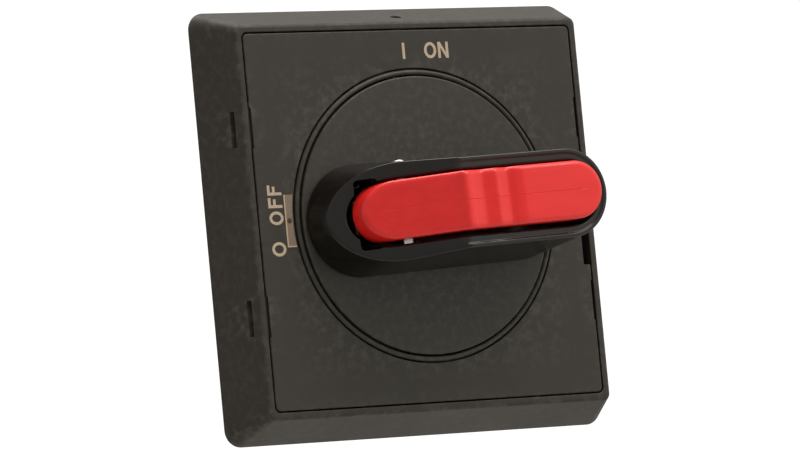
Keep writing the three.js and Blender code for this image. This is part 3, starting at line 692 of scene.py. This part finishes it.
def bead_ring():
    middle = (BEAD_INNER + BEAD_OUTER) / 2
    half = (BEAD_OUTER - BEAD_INNER) / 2
    flange = BEAD_FLANGE
    profile = [(BEAD_INNER, flange["rear"]), (flange["radius"], flange["rear"]),
               (flange["radius"], flange["front"]), (BEAD_OUTER, flange["front"])]
    for step in range(13):
        angle = math.pi * step / 12
        profile.append((middle + half * math.cos(angle),
                        FACE + half - BEAD_RISE - half * math.sin(angle)))
    ring = lathe("bead", profile, softness=0, sides=192)
    finished(ring, "bead_ring_turned", "housing", "housing_plastic", DISC_PLASTIC, "bead_ring")


# ---------------------------------------------------------------- printed marks and the indicator's painted highlight
def letter_ring(width, height, stroke, place):
    """The letter O, as a flat ring."""
    rings = []
    for inset, front in ((0, True), (0, False), (stroke, False), (stroke, True)):
        ring = []
        for i in range(40):
            angle = 2 * math.pi * i / 40
            u = width / 2 + (width / 2 - inset) * math.cos(angle)
            v = height / 2 + (height / 2 - inset) * math.sin(angle)
            ring.append(place(u, v, front))
        rings.append(ring)
    return loft("letter", rings, wrap=True)


def letter_shape(outline, place):
    return loft("letter", [[place(u, v, front) for u, v in outline] for front in (True, False)])


def letter_n(width, height, stroke):
    slant = stroke * 1.15
    return [(0, 0), (stroke, 0), (stroke, height - slant * 1.6), (width - stroke, 0), (width, 0),
            (width, height), (width - stroke, height), (width - stroke, slant * 1.6), (stroke, height),
            (0, height)]


def letter_f(width, height, stroke):
    middle = height * 0.46
    return [(0, 0), (stroke, 0), (stroke, middle), (width * 0.86, middle),
            (width * 0.86, middle + stroke), (stroke, middle + stroke), (stroke, height - stroke),
            (width, height - stroke), (width, height), (0, height)]


def ink_depth(front):
    return FACE - INK_FRONT if front else FACE + INK_ROOT


def on_mark():
    """I ON, above the disc."""
    height = 3.4
    stroke = 0.62
    base = 32.7

    def upright(start):
        return lambda u, v, front: (start + u, ink_depth(front), base + v)

    bar = letter_shape([(0, 0), (stroke, 0), (stroke, height), (0, height)], upright(-1.77))
    shapes = [bar, letter_ring(2.9, height, stroke, upright(3.45)),
              letter_shape(letter_n(2.5, height, stroke), upright(6.75))]
    return merge("mark_on", shapes)


def off_mark():
    """O OFF, left of the disc, reading upwards."""
    height = 3.25
    stroke = 0.6
    base = -33.2

    def sideways(start):
        return lambda u, v, front: (base - v, ink_depth(front), start + u)

    shapes = [letter_ring(2.95, height, stroke, sideways(-7.2)),
              letter_ring(2.8, height, stroke, sideways(-0.75)),
              letter_shape(letter_f(2.1, height, stroke), sideways(2.75)),
              letter_shape(letter_f(2.1, height, stroke), sideways(5.35))]
    return merge("mark_off", shapes)


def indicator_patch(front, margin=0.0):
    """A flat patch between a straight left edge and the rim of the opening."""
    left = INDICATOR["left"]
    half = INDICATOR["half"]
    radius = OPENING_RADIUS + 0.35
    steps = 24
    rim = [(-math.sqrt(radius ** 2 - z ** 2), z) for z in
           [mix(-half + margin, half, i / steps) for i in range(steps + 1)]]
    outline = [*rim, (left + margin, half), (left + margin, -half + margin)]
    return loft("patch", [[(x, y, z) for x, z in outline] for y in (front, FACE + INK_ROOT)])


def marks():
    for name, shape in (("mark_on", on_mark()), ("mark_off", off_mark())):
        finished(shape, name, "housing", "plate_plastic", INK_AND_PAINTED_HIGHLIGHT)
    # The tan strip along the left and bottom edges of the indicator patch is painted highlight: light
    # on the lit edge of the patch's recess, drawn in the marking ink.
    margin = INDICATOR["painted_highlight"]
    dot = rod(INDICATOR["dot_radius"], FACE - OVER, FACE + OVER, INDICATOR["dot_x"], 0, sides=24)
    painted_highlight = cut(indicator_patch(FACE - 0.02), indicator_patch(FACE - OVER, margin))
    finished(painted_highlight, "indicator_painted_highlight", "housing", "plate_plastic", INK_AND_PAINTED_HIGHLIGHT)
    field = cut(indicator_patch(FACE - 0.012, margin), dot)
    finished(field, "indicator_patch", "housing", "plate_plastic", PATCH_INK)


# ---------------------------------------------------------------- hub stack
def dial_disc():
    profile = [(0, DISC_FRONT), (DISC_RADIUS, DISC_FRONT), (DISC_RADIUS, DISC_BACK), (0, DISC_BACK)]
    disc = lathe("disc", profile, softness=0.4, sides=192, closed=False)
    ends = (DISC_FRONT - OVER, DISC_BACK + OVER)
    cut(disc, rod(HUB_SCREW_HOLE, *ends), tongue_pocket(0, *ends))
    finished(disc, "dial_disc_turned", "handle", "disc_plastic", DISC_PLASTIC, "dial_disc")


def drive_hub():
    profile = [(2.5, -9.9), (17, -9.9), (17, -7.9), (12, -7.9), (12, 4.2), (10.7, 4.2), (10.7, 5.9),
               (12, 5.9), (12, 8), (9.4, 8), (9.4, -2), (2.5, -2)]
    finished(lathe("hub", profile), "drive_hub_turned", "handle", "grip_plastic", GRIP_PLASTIC_AND_TONGUE_SHADE,
             "drive_hub")


def hub_bush():
    profile = [(12.3, -6.5), (17.5, -6.5), (17.5, -5.3), (14.6, -5.3), (14.6, 1.6), (12.3, 1.6)]
    finished(lathe("bush", profile), "hub_bush_turned", "housing", "acetal", ACETAL, "hub_bush")


def thrust_washer():
    profile = [(12.4, -7.6), (17.2, -7.6), (17.2, -6.8), (12.4, -6.8)]
    finished(lathe("washer", profile), "thrust_washer_turned", "handle", "acetal", ACETAL,
             "thrust_washer")


def hub_seal():
    profile = [(13.45 + 1.1 * math.cos(math.pi * i / 10), 2.9 + 1.1 * math.sin(math.pi * i / 10))
               for i in range(20)]
    finished(lathe("seal", profile, softness=0), "hub_seal_ring", "housing", "rubber", RUBBER,
             "hub_seal")


def retaining_clip():
    clip = lathe("clip", [(11, 4.5), (15.6, 4.5), (15.6, 5.6), (11, 5.6)], softness=0.12)
    eyes = [rod(1.9, 4.52, 5.58, side * 3.4, -16) for side in (-1, 1)]
    clip = cut(join(clip, *eyes), block((-1.5, 3, -20), (1.5, 7, 0)),
               *[rod(0.8, 3, 7, side * 3.4, -16, sides=24) for side in (-1, 1)])
    finished(clip, "retaining_clip_spring", "handle", "steel", STEEL, "retaining_clip")


def shaft_coupler():
    profile = [(4.8, -1.6), (9.1, -1.6), (9.1, 8.3), (10.8, 8.3), (10.8, 25), (9.8, 26), (0, 26),
               (0, 2.8), (4.8, 2.8)]
    body = lathe("coupler", profile, softness=[0.2, 0.3, 0.4, 0.4, 0.3, 0.3, 0, 0, 0.3])
    socket = block((-4.1, 5, -4.1), (4.1, 27, 4.1))
    lead = loft("lead", [[(sx * half, y, sz * half) for sx, sz in corners(1)]
                         for half, y in ((4.1, 24.8), (6.5, 27.2))])
    cut(body, socket, lead, cross_rod(2.2, 0, 12, 0, 19))
    finished(body, "shaft_coupler_cast", "handle", "zinc", ZINC, "shaft_coupler")


def threaded_rod(radius, depth, pitch, front, rear, sides=28):
    """A rod along Y with a real helical thread that fades out at both ends."""
    per_turn = 8
    count = round((rear - front) / pitch * per_turn)
    rings = []
    for k in range(count + 1):
        y = mix(front, rear, k / count)
        fade = min(1, (rear - y) / pitch, (y - front) / pitch)
        ring = []
        for i in range(sides):
            phase = (y / pitch - i / sides) % 1
            groove = depth * abs(2 * phase - 1) * fade + depth * (1 - fade)
            angle = 2 * math.pi * i / sides
            ring.append(((radius - groove) * math.cos(angle), y, (radius - groove) * math.sin(angle)))
        rings.append(ring)
    return loft("thread", rings)


def hub_screw():
    head = lathe("head", [(0, 1.2), (3.2, 1.2), (4.2, 0.3), (4.2, -1.7), (0, -1.7)],
                 softness=[0, 0.8, 0.6, 0.15, 0], sides=48, closed=False)
    screw = join(head, threaded_rod(2.2, 0.32, 0.8, -18.6, -1))
    cut(screw, rod(2, -0.3, 2.2, sides=6))
    finished(screw, "hub_screw_threaded", "handle", "steel", STEEL, "hub_screw")


def coupler_set_screw():
    screw = cut(threaded_rod(1.9, 0.26, 0.7, 4.6, 10.4), rod(1, 8.8, 11.4, sides=6))
    turn(screw, QUARTER, "X")
    move(screw, y=19)
    finished(screw, "coupler_set_screw_threaded", "handle", "steel", STEEL, "coupler_set_screw")


# ---------------------------------------------------------------- lock ring
def lock_ring():
    profile = [(RING["inner"], RING["front"]), (RING["outer"], RING["front"]),
               (RING["outer"], RING["rear"]), (RING["inner"], RING["rear"])]
    ring = lathe("ring", profile, softness=0.15, sides=128)
    pockets = [tongue_pocket(OFF_TILT + a, RING["front"] - OVER, FLOOR) for a in (0, HANDLE_TRAVEL)]
    holes = [rod(1.5, RING["front"] - OVER, FLOOR, x, z) for x, z in ring_screw_places()]
    cut(ring, *pockets, *holes)
    finished(ring, "lock_ring_stamped", "housing", "steel", STEEL, "lock_ring")


def cross_recess(x, z, y, reach):
    """The two bars of a cross-head recess that opens towards -Y."""
    return [block((x - a, y - 2, z - b), (x + a, y + 1.1, z + b), 0.1)
            for a, b in ((reach, 0.2 * reach), (0.2 * reach, reach))]


def lock_ring_screws():
    for i, (x, z) in enumerate(ring_screw_places()):
        head_rear = RING["front"] - 0.3
        profile = [(0, head_rear - 1.1), (1.2, head_rear - 1.1), (1.6, head_rear - 0.6),
                   (1.6, head_rear), (0, head_rear)]
        head = lathe("head", profile, [0, 0.4, 0.3, 0.1, 0], sides=36, closed=False)
        screw = join(head, threaded_rod(1.1, 0.16, 0.5, head_rear - 0.4, FLOOR + 1.4, sides=20))
        move(screw, x=x, z=z)
        bars = [move(bar, y=0.5) for bar in cross_recess(x, z, head_rear - 1.4, 0.9)]
        cut(screw, *bars)
        name = f"lock_ring_screw_{i + 1}"
        finished(screw, name + "_threaded", "housing", "steel", STEEL, name)


# ---------------------------------------------------------------- release slider
def release_slider():
    low, high = extent("release_slider")
    plate = block(low, high, 0.25)
    cut(plate, block((-2.1, low.y - OVER, 27.1), (2.1, high.y + OVER, 35), 0.3))
    finished(plate, "release_slider_moulded", "release", "acetal", ACETAL, "release_slider")


def coil_points(radius, turns, pitch, steps=24):
    count = round(turns * steps)
    return [(radius * math.cos(2 * math.pi * i / steps), radius * math.sin(2 * math.pi * i / steps),
             pitch * i / steps) for i in range(count + 1)]


def wire(name, points, radius):
    """A closed round wire along a path, as a mesh."""
    curve = bpy.data.curves.new(name, "CURVE")
    curve.dimensions = "3D"
    curve.bevel_depth = radius * MM
    curve.bevel_resolution = 3
    curve.use_fill_caps = True
    spline = curve.splines.new("POLY")
    spline.points.add(len(points) - 1)
    for point, place in zip(spline.points, points):
        point.co = (*(Vector(place) * MM), 1)
    drawn = add_object(name, curve)
    mesh = evaluated_mesh(drawn)
    bpy.data.objects.remove(drawn)
    build = open_mesh(mesh)
    bmesh.ops.remove_doubles(build, verts=build.verts, dist=SAME_POINT)
    bmesh.ops.recalc_face_normals(build, faces=build.faces)
    store_mesh(build, mesh)
    return add_object(name, mesh)


def release_spring():
    low, high = extent("release_spring")
    turns = 6
    radius = 1
    section = 0.25
    seat = low.z + section
    length = high.z - low.z - 2 * section
    points = [(x, y + RELEASE_HOLE["y"], seat + z)
              for x, y, z in coil_points(radius, turns, length / turns)]
    spring = wire("release_spring", points, section)
    finished(spring, "release_spring_wound", "housing", "steel", STEEL, "release_spring")
    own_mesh(spring)


# ---------------------------------------------------------------- grip
def rim_height(x):
    """The level top and the ramp down to the left, with a soft change between them."""
    ramp = GRIP_TOP + RAMP_SLOPE * (x - RAMP_TOP_X)
    near = max(RAMP_BLEND - abs(GRIP_TOP - ramp), 0) / RAMP_BLEND
    return min(GRIP_TOP, ramp) - near * near * RAMP_BLEND / 4


def grip_ends(height):
    """Centres and radii of the grip's plan outline at a height."""
    t = (height - GRIP_FOOT) / (GRIP_TOP - GRIP_FOOT)
    return tuple((mix(foot[0], top[0], t), mix(foot[1], top[1], t))
                 for foot, top in zip(GRIP_WALL_ENDS, GRIP_TOP_ENDS))


def shoulder(station, inset=0):
    """Where the leaning wall meets the top or the ramp."""
    height = GRIP_TOP
    for _ in range(12):
        x, z = on_stadium(station, grip_ends(height), inset)
        height = rim_height(x)
    return x, z, height


def grip_path(station):
    """One section through the grip's wall: foot, rim, ledge, trough wall and trough floor."""
    x, z, height = shoulder(station)
    lip_x, lip_z, lip_height = shoulder(station, LIP_WIDTH)
    step_x, step_z, step_height = shoulder(station, LIP_WIDTH + LEDGE_STEP)
    trough_x, trough_z = on_stadium(station, TROUGH_ENDS)
    drop = LEDGE_DROP * smooth_step(RAMP_TOP_X - 0.2, RAMP_TOP_X + 0.3, trough_x)
    floor = mix(HEEL_FLOOR, TROUGH_FLOOR, smooth_step(HEEL_FLOOR_END - 0.3, HEEL_FLOOR_END, trough_x))
    level = smooth_step(RAMP_TOP_X - 6, RAMP_TOP_X + 1, x)
    path = [
        at_height(*on_stadium(station, GRIP_FOOT_ENDS, 2), GRIP_FOOT),
        at_height(*on_stadium(station, GRIP_FOOT_ENDS), GRIP_FOOT),
        at_height(x, z, height), at_height(lip_x, lip_z, lip_height),
        at_height(step_x, step_z, step_height - drop),
        at_height(trough_x, trough_z, rim_height(trough_x) - drop),
        at_height(trough_x, trough_z, floor), at_height(*on_stadium(station, TROUGH_ENDS, 1), floor),
    ]
    shoulder_softness = mix(RAMP_SOFTNESS, RIM_SOFTNESS, level)
    reaches = [0, 0.3, shoulder_softness, 0.2, 0.2, INNER_SOFTNESS, 0.5, 0]
    return soften(path, reaches, steps=5, closed=False)


def handle_grip():
    stations = stadium_stations(TROUGH_ENDS, 28, 90)
    paths = [grip_path(station) for station in stations]
    count = len(stations)
    rings = list(zip(*paths))
    faces = ring_faces(count, len(rings), wrap=False)
    faces += bridge_faces(0, count) + bridge_faces((len(rings) - 1) * count, count)
    grip = piece("grip", [p for ring in rings for p in ring], faces)
    pocket = CHEEK_POCKET
    cheeks = block((pocket["left"], FACE - GRIP_TOP, pocket["low"]),
                   (pocket["right"], FACE - pocket["floor"], pocket["high"]), 0.8)
    tongue_slot = tongue_pocket(0, FACE - HEEL_FLOOR - OVER, FACE + OVER, softness=0)
    pin_hole = cross_rod(PIN_HOLE, PIN["low"] - 0.3, 20, PIN["x"], FACE - PIN["height"])
    cut(grip, cheeks, pin_hole, tongue_slot, rod(HUB_SCREW_HOLE, -18.9, FACE + OVER))
    finished(grip, "handle_grip_moulded", "handle", "grip_plastic", GRIP_PLASTIC_AND_TONGUE_SHADE, "handle_grip")


# ---------------------------------------------------------------- lock lever
def lever_height(x):
    """The lever's top: ramp, crest, two finger waves and a level end, as one smooth curve."""
    knots = LEVER_TOP
    steps = [(b[1] - a[1]) / (b[0] - a[0]) for a, b in zip(knots, knots[1:])]
    inner = [(a + b) / 2 for a, b in zip(steps, steps[1:])]
    slopes = [steps[0], steps[0], *inner[1:], steps[-1]]
    k = max(i for i in range(len(steps)) if i == 0 or knots[i][0] <= x)
    width = knots[k + 1][0] - knots[k][0]
    t = (x - knots[k][0]) / width
    ease = t * t * (3 - 2 * t)
    lean = slopes[k] * t * (1 - t) ** 2 - slopes[k + 1] * t * t * (1 - t)
    return mix(knots[k][1], knots[k + 1][1], ease) + width * lean


def lever_bottom(x):
    return mix(LEVER_HEEL_BOTTOM, LEVER_SLAB_BOTTOM, min(1, max(0, (x - WEB["left"]) / 6)))


def lever_path(station):
    """One section through the lever's edge, from its underside to its top."""
    x, z = on_stadium(station, LEVER_ENDS)
    under_x, under_z = on_stadium(station, LEVER_ENDS, 1.5)
    top_x, top_z = on_stadium(station, LEVER_ENDS, 2.6)
    path = [at_height(under_x, under_z, lever_bottom(under_x)), at_height(x, z, lever_bottom(x)),
            at_height(x, z, lever_height(x)), at_height(top_x, top_z, lever_height(top_x))]
    return soften(path, [0, 0.35, LEVER_SOFTNESS, 0], steps=7, closed=False)


def grooved_cap(points, start, count):
    """Faces across the lever's top ring, with the mould's parting line sunk along the middle."""
    half = count // 2
    rows = [[start]]
    for i in range(1, half):
        upper, lower = start + i, start + count - i
        x, y, z = points[upper]
        reach = min(PARTING_LINE["half"], z / 6)
        row = [upper]
        fade = smooth_step(0, 3, x - points[start][0]) * smooth_step(0, 3, points[start + half][0] - x)
        depth = PARTING_LINE["depth"] * fade
        for offset, sink in ((2.5 * reach, 0), (reach, 0), (0, depth), (-reach, 0), (-2.5 * reach, 0)):
            row.append(len(points))
            points.append((x, y + sink, offset))
        rows.append([*row, lower])
    rows.append([start + half])
    faces = []
    for a, b in zip(rows, rows[1:]):
        if len(a) == len(b):
            faces += [(a[i], b[i], b[i + 1], a[i + 1]) for i in range(len(a) - 1)]
        else:
            tip, side = (a[0], b) if len(a) == 1 else (b[0], a)
            faces += [(tip, side[i], side[i + 1]) for i in range(len(side) - 1)]
    return faces


def lock_lever():
    stations = stadium_stations(LEVER_ENDS, 28, 150)
    rings = list(zip(*[lever_path(station) for station in stations]))
    count = len(stations)
    points = [tuple(p) for ring in rings for p in ring]
    faces = ring_faces(count, len(rings), wrap=False) + bridge_faces(0, count)
    faces += grooved_cap(points, (len(rings) - 1) * count, count)
    lever = piece("lever", points, faces)
    web = block((WEB["left"], FACE - LEVER_SLAB_BOTTOM - 1, -WEB["half"]),
                (WEB["right"], FACE - WEB["bottom"], WEB["half"]), 0.6)
    padlock = block((PADLOCK_SLOT["left"], FACE - PADLOCK_SLOT["high"], -8),
                    (PADLOCK_SLOT["right"], FACE - PADLOCK_SLOT["low"], 8), 1.2)
    reach = SPRING_SLOT["reach"]
    spring = block((PIN["x"] - reach, FACE - SPRING_SLOT["top"], -SPRING_SLOT["half"]),
                   (PIN["x"] + reach, FACE, SPRING_SLOT["half"]))
    pin_hole = cross_rod(PIN_HOLE, -20, 20, PIN["x"], FACE - PIN["height"])
    cut(join(lever, web), padlock, spring, pin_hole)
    move(lever, z=LEVER_Z)
    finished(lever, "lock_lever_moulded", "lever", "lever_plastic", LEVER_PLASTIC, "lock_lever")


def lever_pin():
    radius = PIN["radius"]
    profile = [(0, PIN["low"]), (radius, PIN["low"]), (radius, PIN["high"]), (0, PIN["high"])]
    pin = lathe("pin", profile, softness=[0, 0.25, 0.3, 0], sides=40, closed=False)
    turn(pin, QUARTER, "X")
    move(pin, x=PIN["x"], y=FACE - PIN["height"])
    finished(pin, "lever_pin_turned", "handle", "steel", STEEL, "lever_pin")


def lever_spring():
    turns = 3
    pitch = 0.8
    points = [(x + PIN["x"], y + FACE - PIN["height"], z + LEVER_Z - turns * pitch / 2)
              for x, y, z in coil_points(2.6, turns, pitch, steps=32)]
    spring = wire("lever_spring", points, 0.35)
    finished(spring, "lever_spring_wound", "handle", "steel", STEEL, "lever_spring")


def lock_tongue():
    half = TONGUE["thickness"] / 2
    tongue = block((TONGUE["x"] - half, FACE - TONGUE["top"], -TONGUE["width"] / 2),
                   (TONGUE["x"] + half, FACE - TONGUE["bottom"], TONGUE["width"] / 2), 0.35)
    # The tongue is coloured as the black grip plastic to paint the shade seen through the gap of the
    # trough.
    finished(tongue, "lock_tongue_painted_shade", "tongue", "grip_plastic", GRIP_PLASTIC_AND_TONGUE_SHADE, "lock_tongue")


# ---------------------------------------------------------------- fixings
def fixing_screw(name, x, z):
    low, high = extent(name)
    head_rear = FLOOR - 0.3
    profile = [(0, low.y), (2.2, low.y), (3.6, head_rear - 1.2), (3.6, head_rear), (0, head_rear)]
    head = lathe("head", profile, softness=[0, 0.9, 0.8, 0.15, 0], sides=48, closed=False)
    screw = join(head, threaded_rod(1.9, 0.28, 0.7, head_rear - 0.4, high.y))
    move(screw, x=x, z=z)
    cut(screw, *cross_recess(x, z, low.y + 0.1, 2.1))
    finished(screw, name + "_threaded", "housing", "steel", STEEL, name)


def fixing_nut(name, x, z):
    low, high = extent(name)
    nut = rod((high.x - low.x) / 2, low.y, high.y, sides=6)
    profile = [(0, low.y), (3.45, low.y), (4.2, low.y + 0.45), (4.2, high.y - 0.45), (3.45, high.y),
               (0, high.y)]
    chamfer = lathe("chamfer", profile, softness=0, sides=64, closed=False)
    combine(nut, [chamfer], "INTERSECT")
    cut(nut, rod(2.2, low.y - OVER, high.y + OVER, sides=32))
    move(nut, x=x, z=z)
    finished(nut, name + "_hex", "housing", "steel", STEEL, name)


def fixings():
    for i, (x, z) in enumerate(corners(FIXING_OFFSET)):
        fixing_screw(f"fixing_screw_{i + 1}", x, z)
        fixing_nut(f"fixing_nut_{i + 1}", x, z)


# ---------------------------------------------------------------- camera, light and floor
CAMERA_YAW = math.radians(29.511)
CAMERA_PITCH = math.radians(4.939)
CAMERA_ROLL = math.radians(5.356)
CAMERA_DISTANCE = 1131.0
CAMERA_SHIFT_RIGHT = 5.186
CAMERA_SHIFT_UP = 2.790
CAMERA_LENS = 245.8
WARM_WHITE = (1.0, 0.968, 0.925)


def camera():
    """Looks at the middle of the cover plate from the left and slightly below, with a small roll."""
    forward = Vector((math.sin(CAMERA_YAW) * math.cos(CAMERA_PITCH),
                      math.cos(CAMERA_YAW) * math.cos(CAMERA_PITCH), math.sin(CAMERA_PITCH)))
    level = Vector((math.cos(CAMERA_YAW), -math.sin(CAMERA_YAW), 0))
    upward = level.cross(forward)
    right = math.cos(CAMERA_ROLL) * level - math.sin(CAMERA_ROLL) * upward
    up = math.sin(CAMERA_ROLL) * level + math.cos(CAMERA_ROLL) * upward
    target = Vector((0, FACE, 0))
    place = target - forward * CAMERA_DISTANCE - right * CAMERA_SHIFT_RIGHT - up * CAMERA_SHIFT_UP
    data = bpy.data.cameras.new("camera")
    data.lens = CAMERA_LENS
    data.clip_end = 20
    obj = add_object("camera", data)
    facing = Matrix((right, up, -forward)).transposed().to_4x4()
    obj.matrix_world = Matrix.Translation(place * MM) @ facing
    bpy.context.scene.camera = obj


def soft_light(name, place, size, power, color):
    """A square soft box that faces the object."""
    data = bpy.data.lights.new(name, "AREA")
    data.size = size
    data.energy = power
    data.color = color
    obj = add_object(name, data)
    obj.location = place
    obj.rotation_euler = (-Vector(place)).to_track_quat("-Z", "Y").to_euler()


def studio():
    """An even warm surround, a key above right, a top light and a large weak soft box at the right."""
    world = bpy.data.worlds.new("studio")
    world.use_nodes = True
    tree = world.node_tree
    nodes = tree.nodes
    surround = feed(tree, nodes["Background"], {"Color": (*WARM_WHITE, 1), "Strength": 0.66})
    backdrop = feed(tree, nodes.new("ShaderNodeBackground"), {
        "Color": (1, 1, 1, 1), "Strength": 1.1})
    rays = nodes.new("ShaderNodeLightPath")
    choose = feed(tree, nodes.new("ShaderNodeMixShader"), {
        "Fac": rays.outputs["Is Camera Ray"], 1: surround.outputs["Background"],
        2: backdrop.outputs["Background"]})
    feed(tree, nodes["World Output"], {"Surface": choose.outputs["Shader"]})
    bpy.context.scene.world = world
    soft_light("key", (0.45, -0.75, 0.95), 0.7, 11, WARM_WHITE)
    soft_light("top", (0.0, 0.1, 1.2), 0.8, 14, WARM_WHITE)
    soft_light("right", (1.15, -0.95, 0.25), 1.6, 5.5, WARM_WHITE)


def floor():
    """A plain floor below the handle, with a faint slow change of tone. Sizes are metres."""
    half = 3.0
    level = -0.26
    mesh = bpy.data.meshes.new("floor")
    mesh.from_pydata([(-half, -half, level), (half, -half, level), (half, half, level),
                      (-half, half, level)], [], [(0, 1, 2, 3)])
    obj = add_object("floor", mesh)
    material, tree, shader = principled("floor", (0.48, 0.48, 0.47), 0.7)
    shade = remap(tree, noise(tree, 300, detail=2), 0, 1)
    tree.links.new(blend_colors(tree, shade, (0.46, 0.46, 0.45), (0.5, 0.5, 0.49)),
                   shader.inputs["Base Color"])
    mesh.materials.append(material)


# ---------------------------------------------------------------- build
PIECES = (
    bezel_frame, panel_gasket, cover_plate, bead_ring, marks, dial_disc, drive_hub, hub_bush,
    thrust_washer, hub_seal, retaining_clip, shaft_coupler, hub_screw, coupler_set_screw, lock_ring,
    lock_ring_screws, release_slider, release_spring, handle_grip, lock_lever, lever_pin,
    lever_spring, lock_tongue, fixings,
)

camera()
studio()
floor()
for make in PIECES:
    make()
bpy.context.scene.view_settings.view_transform = "Standard"
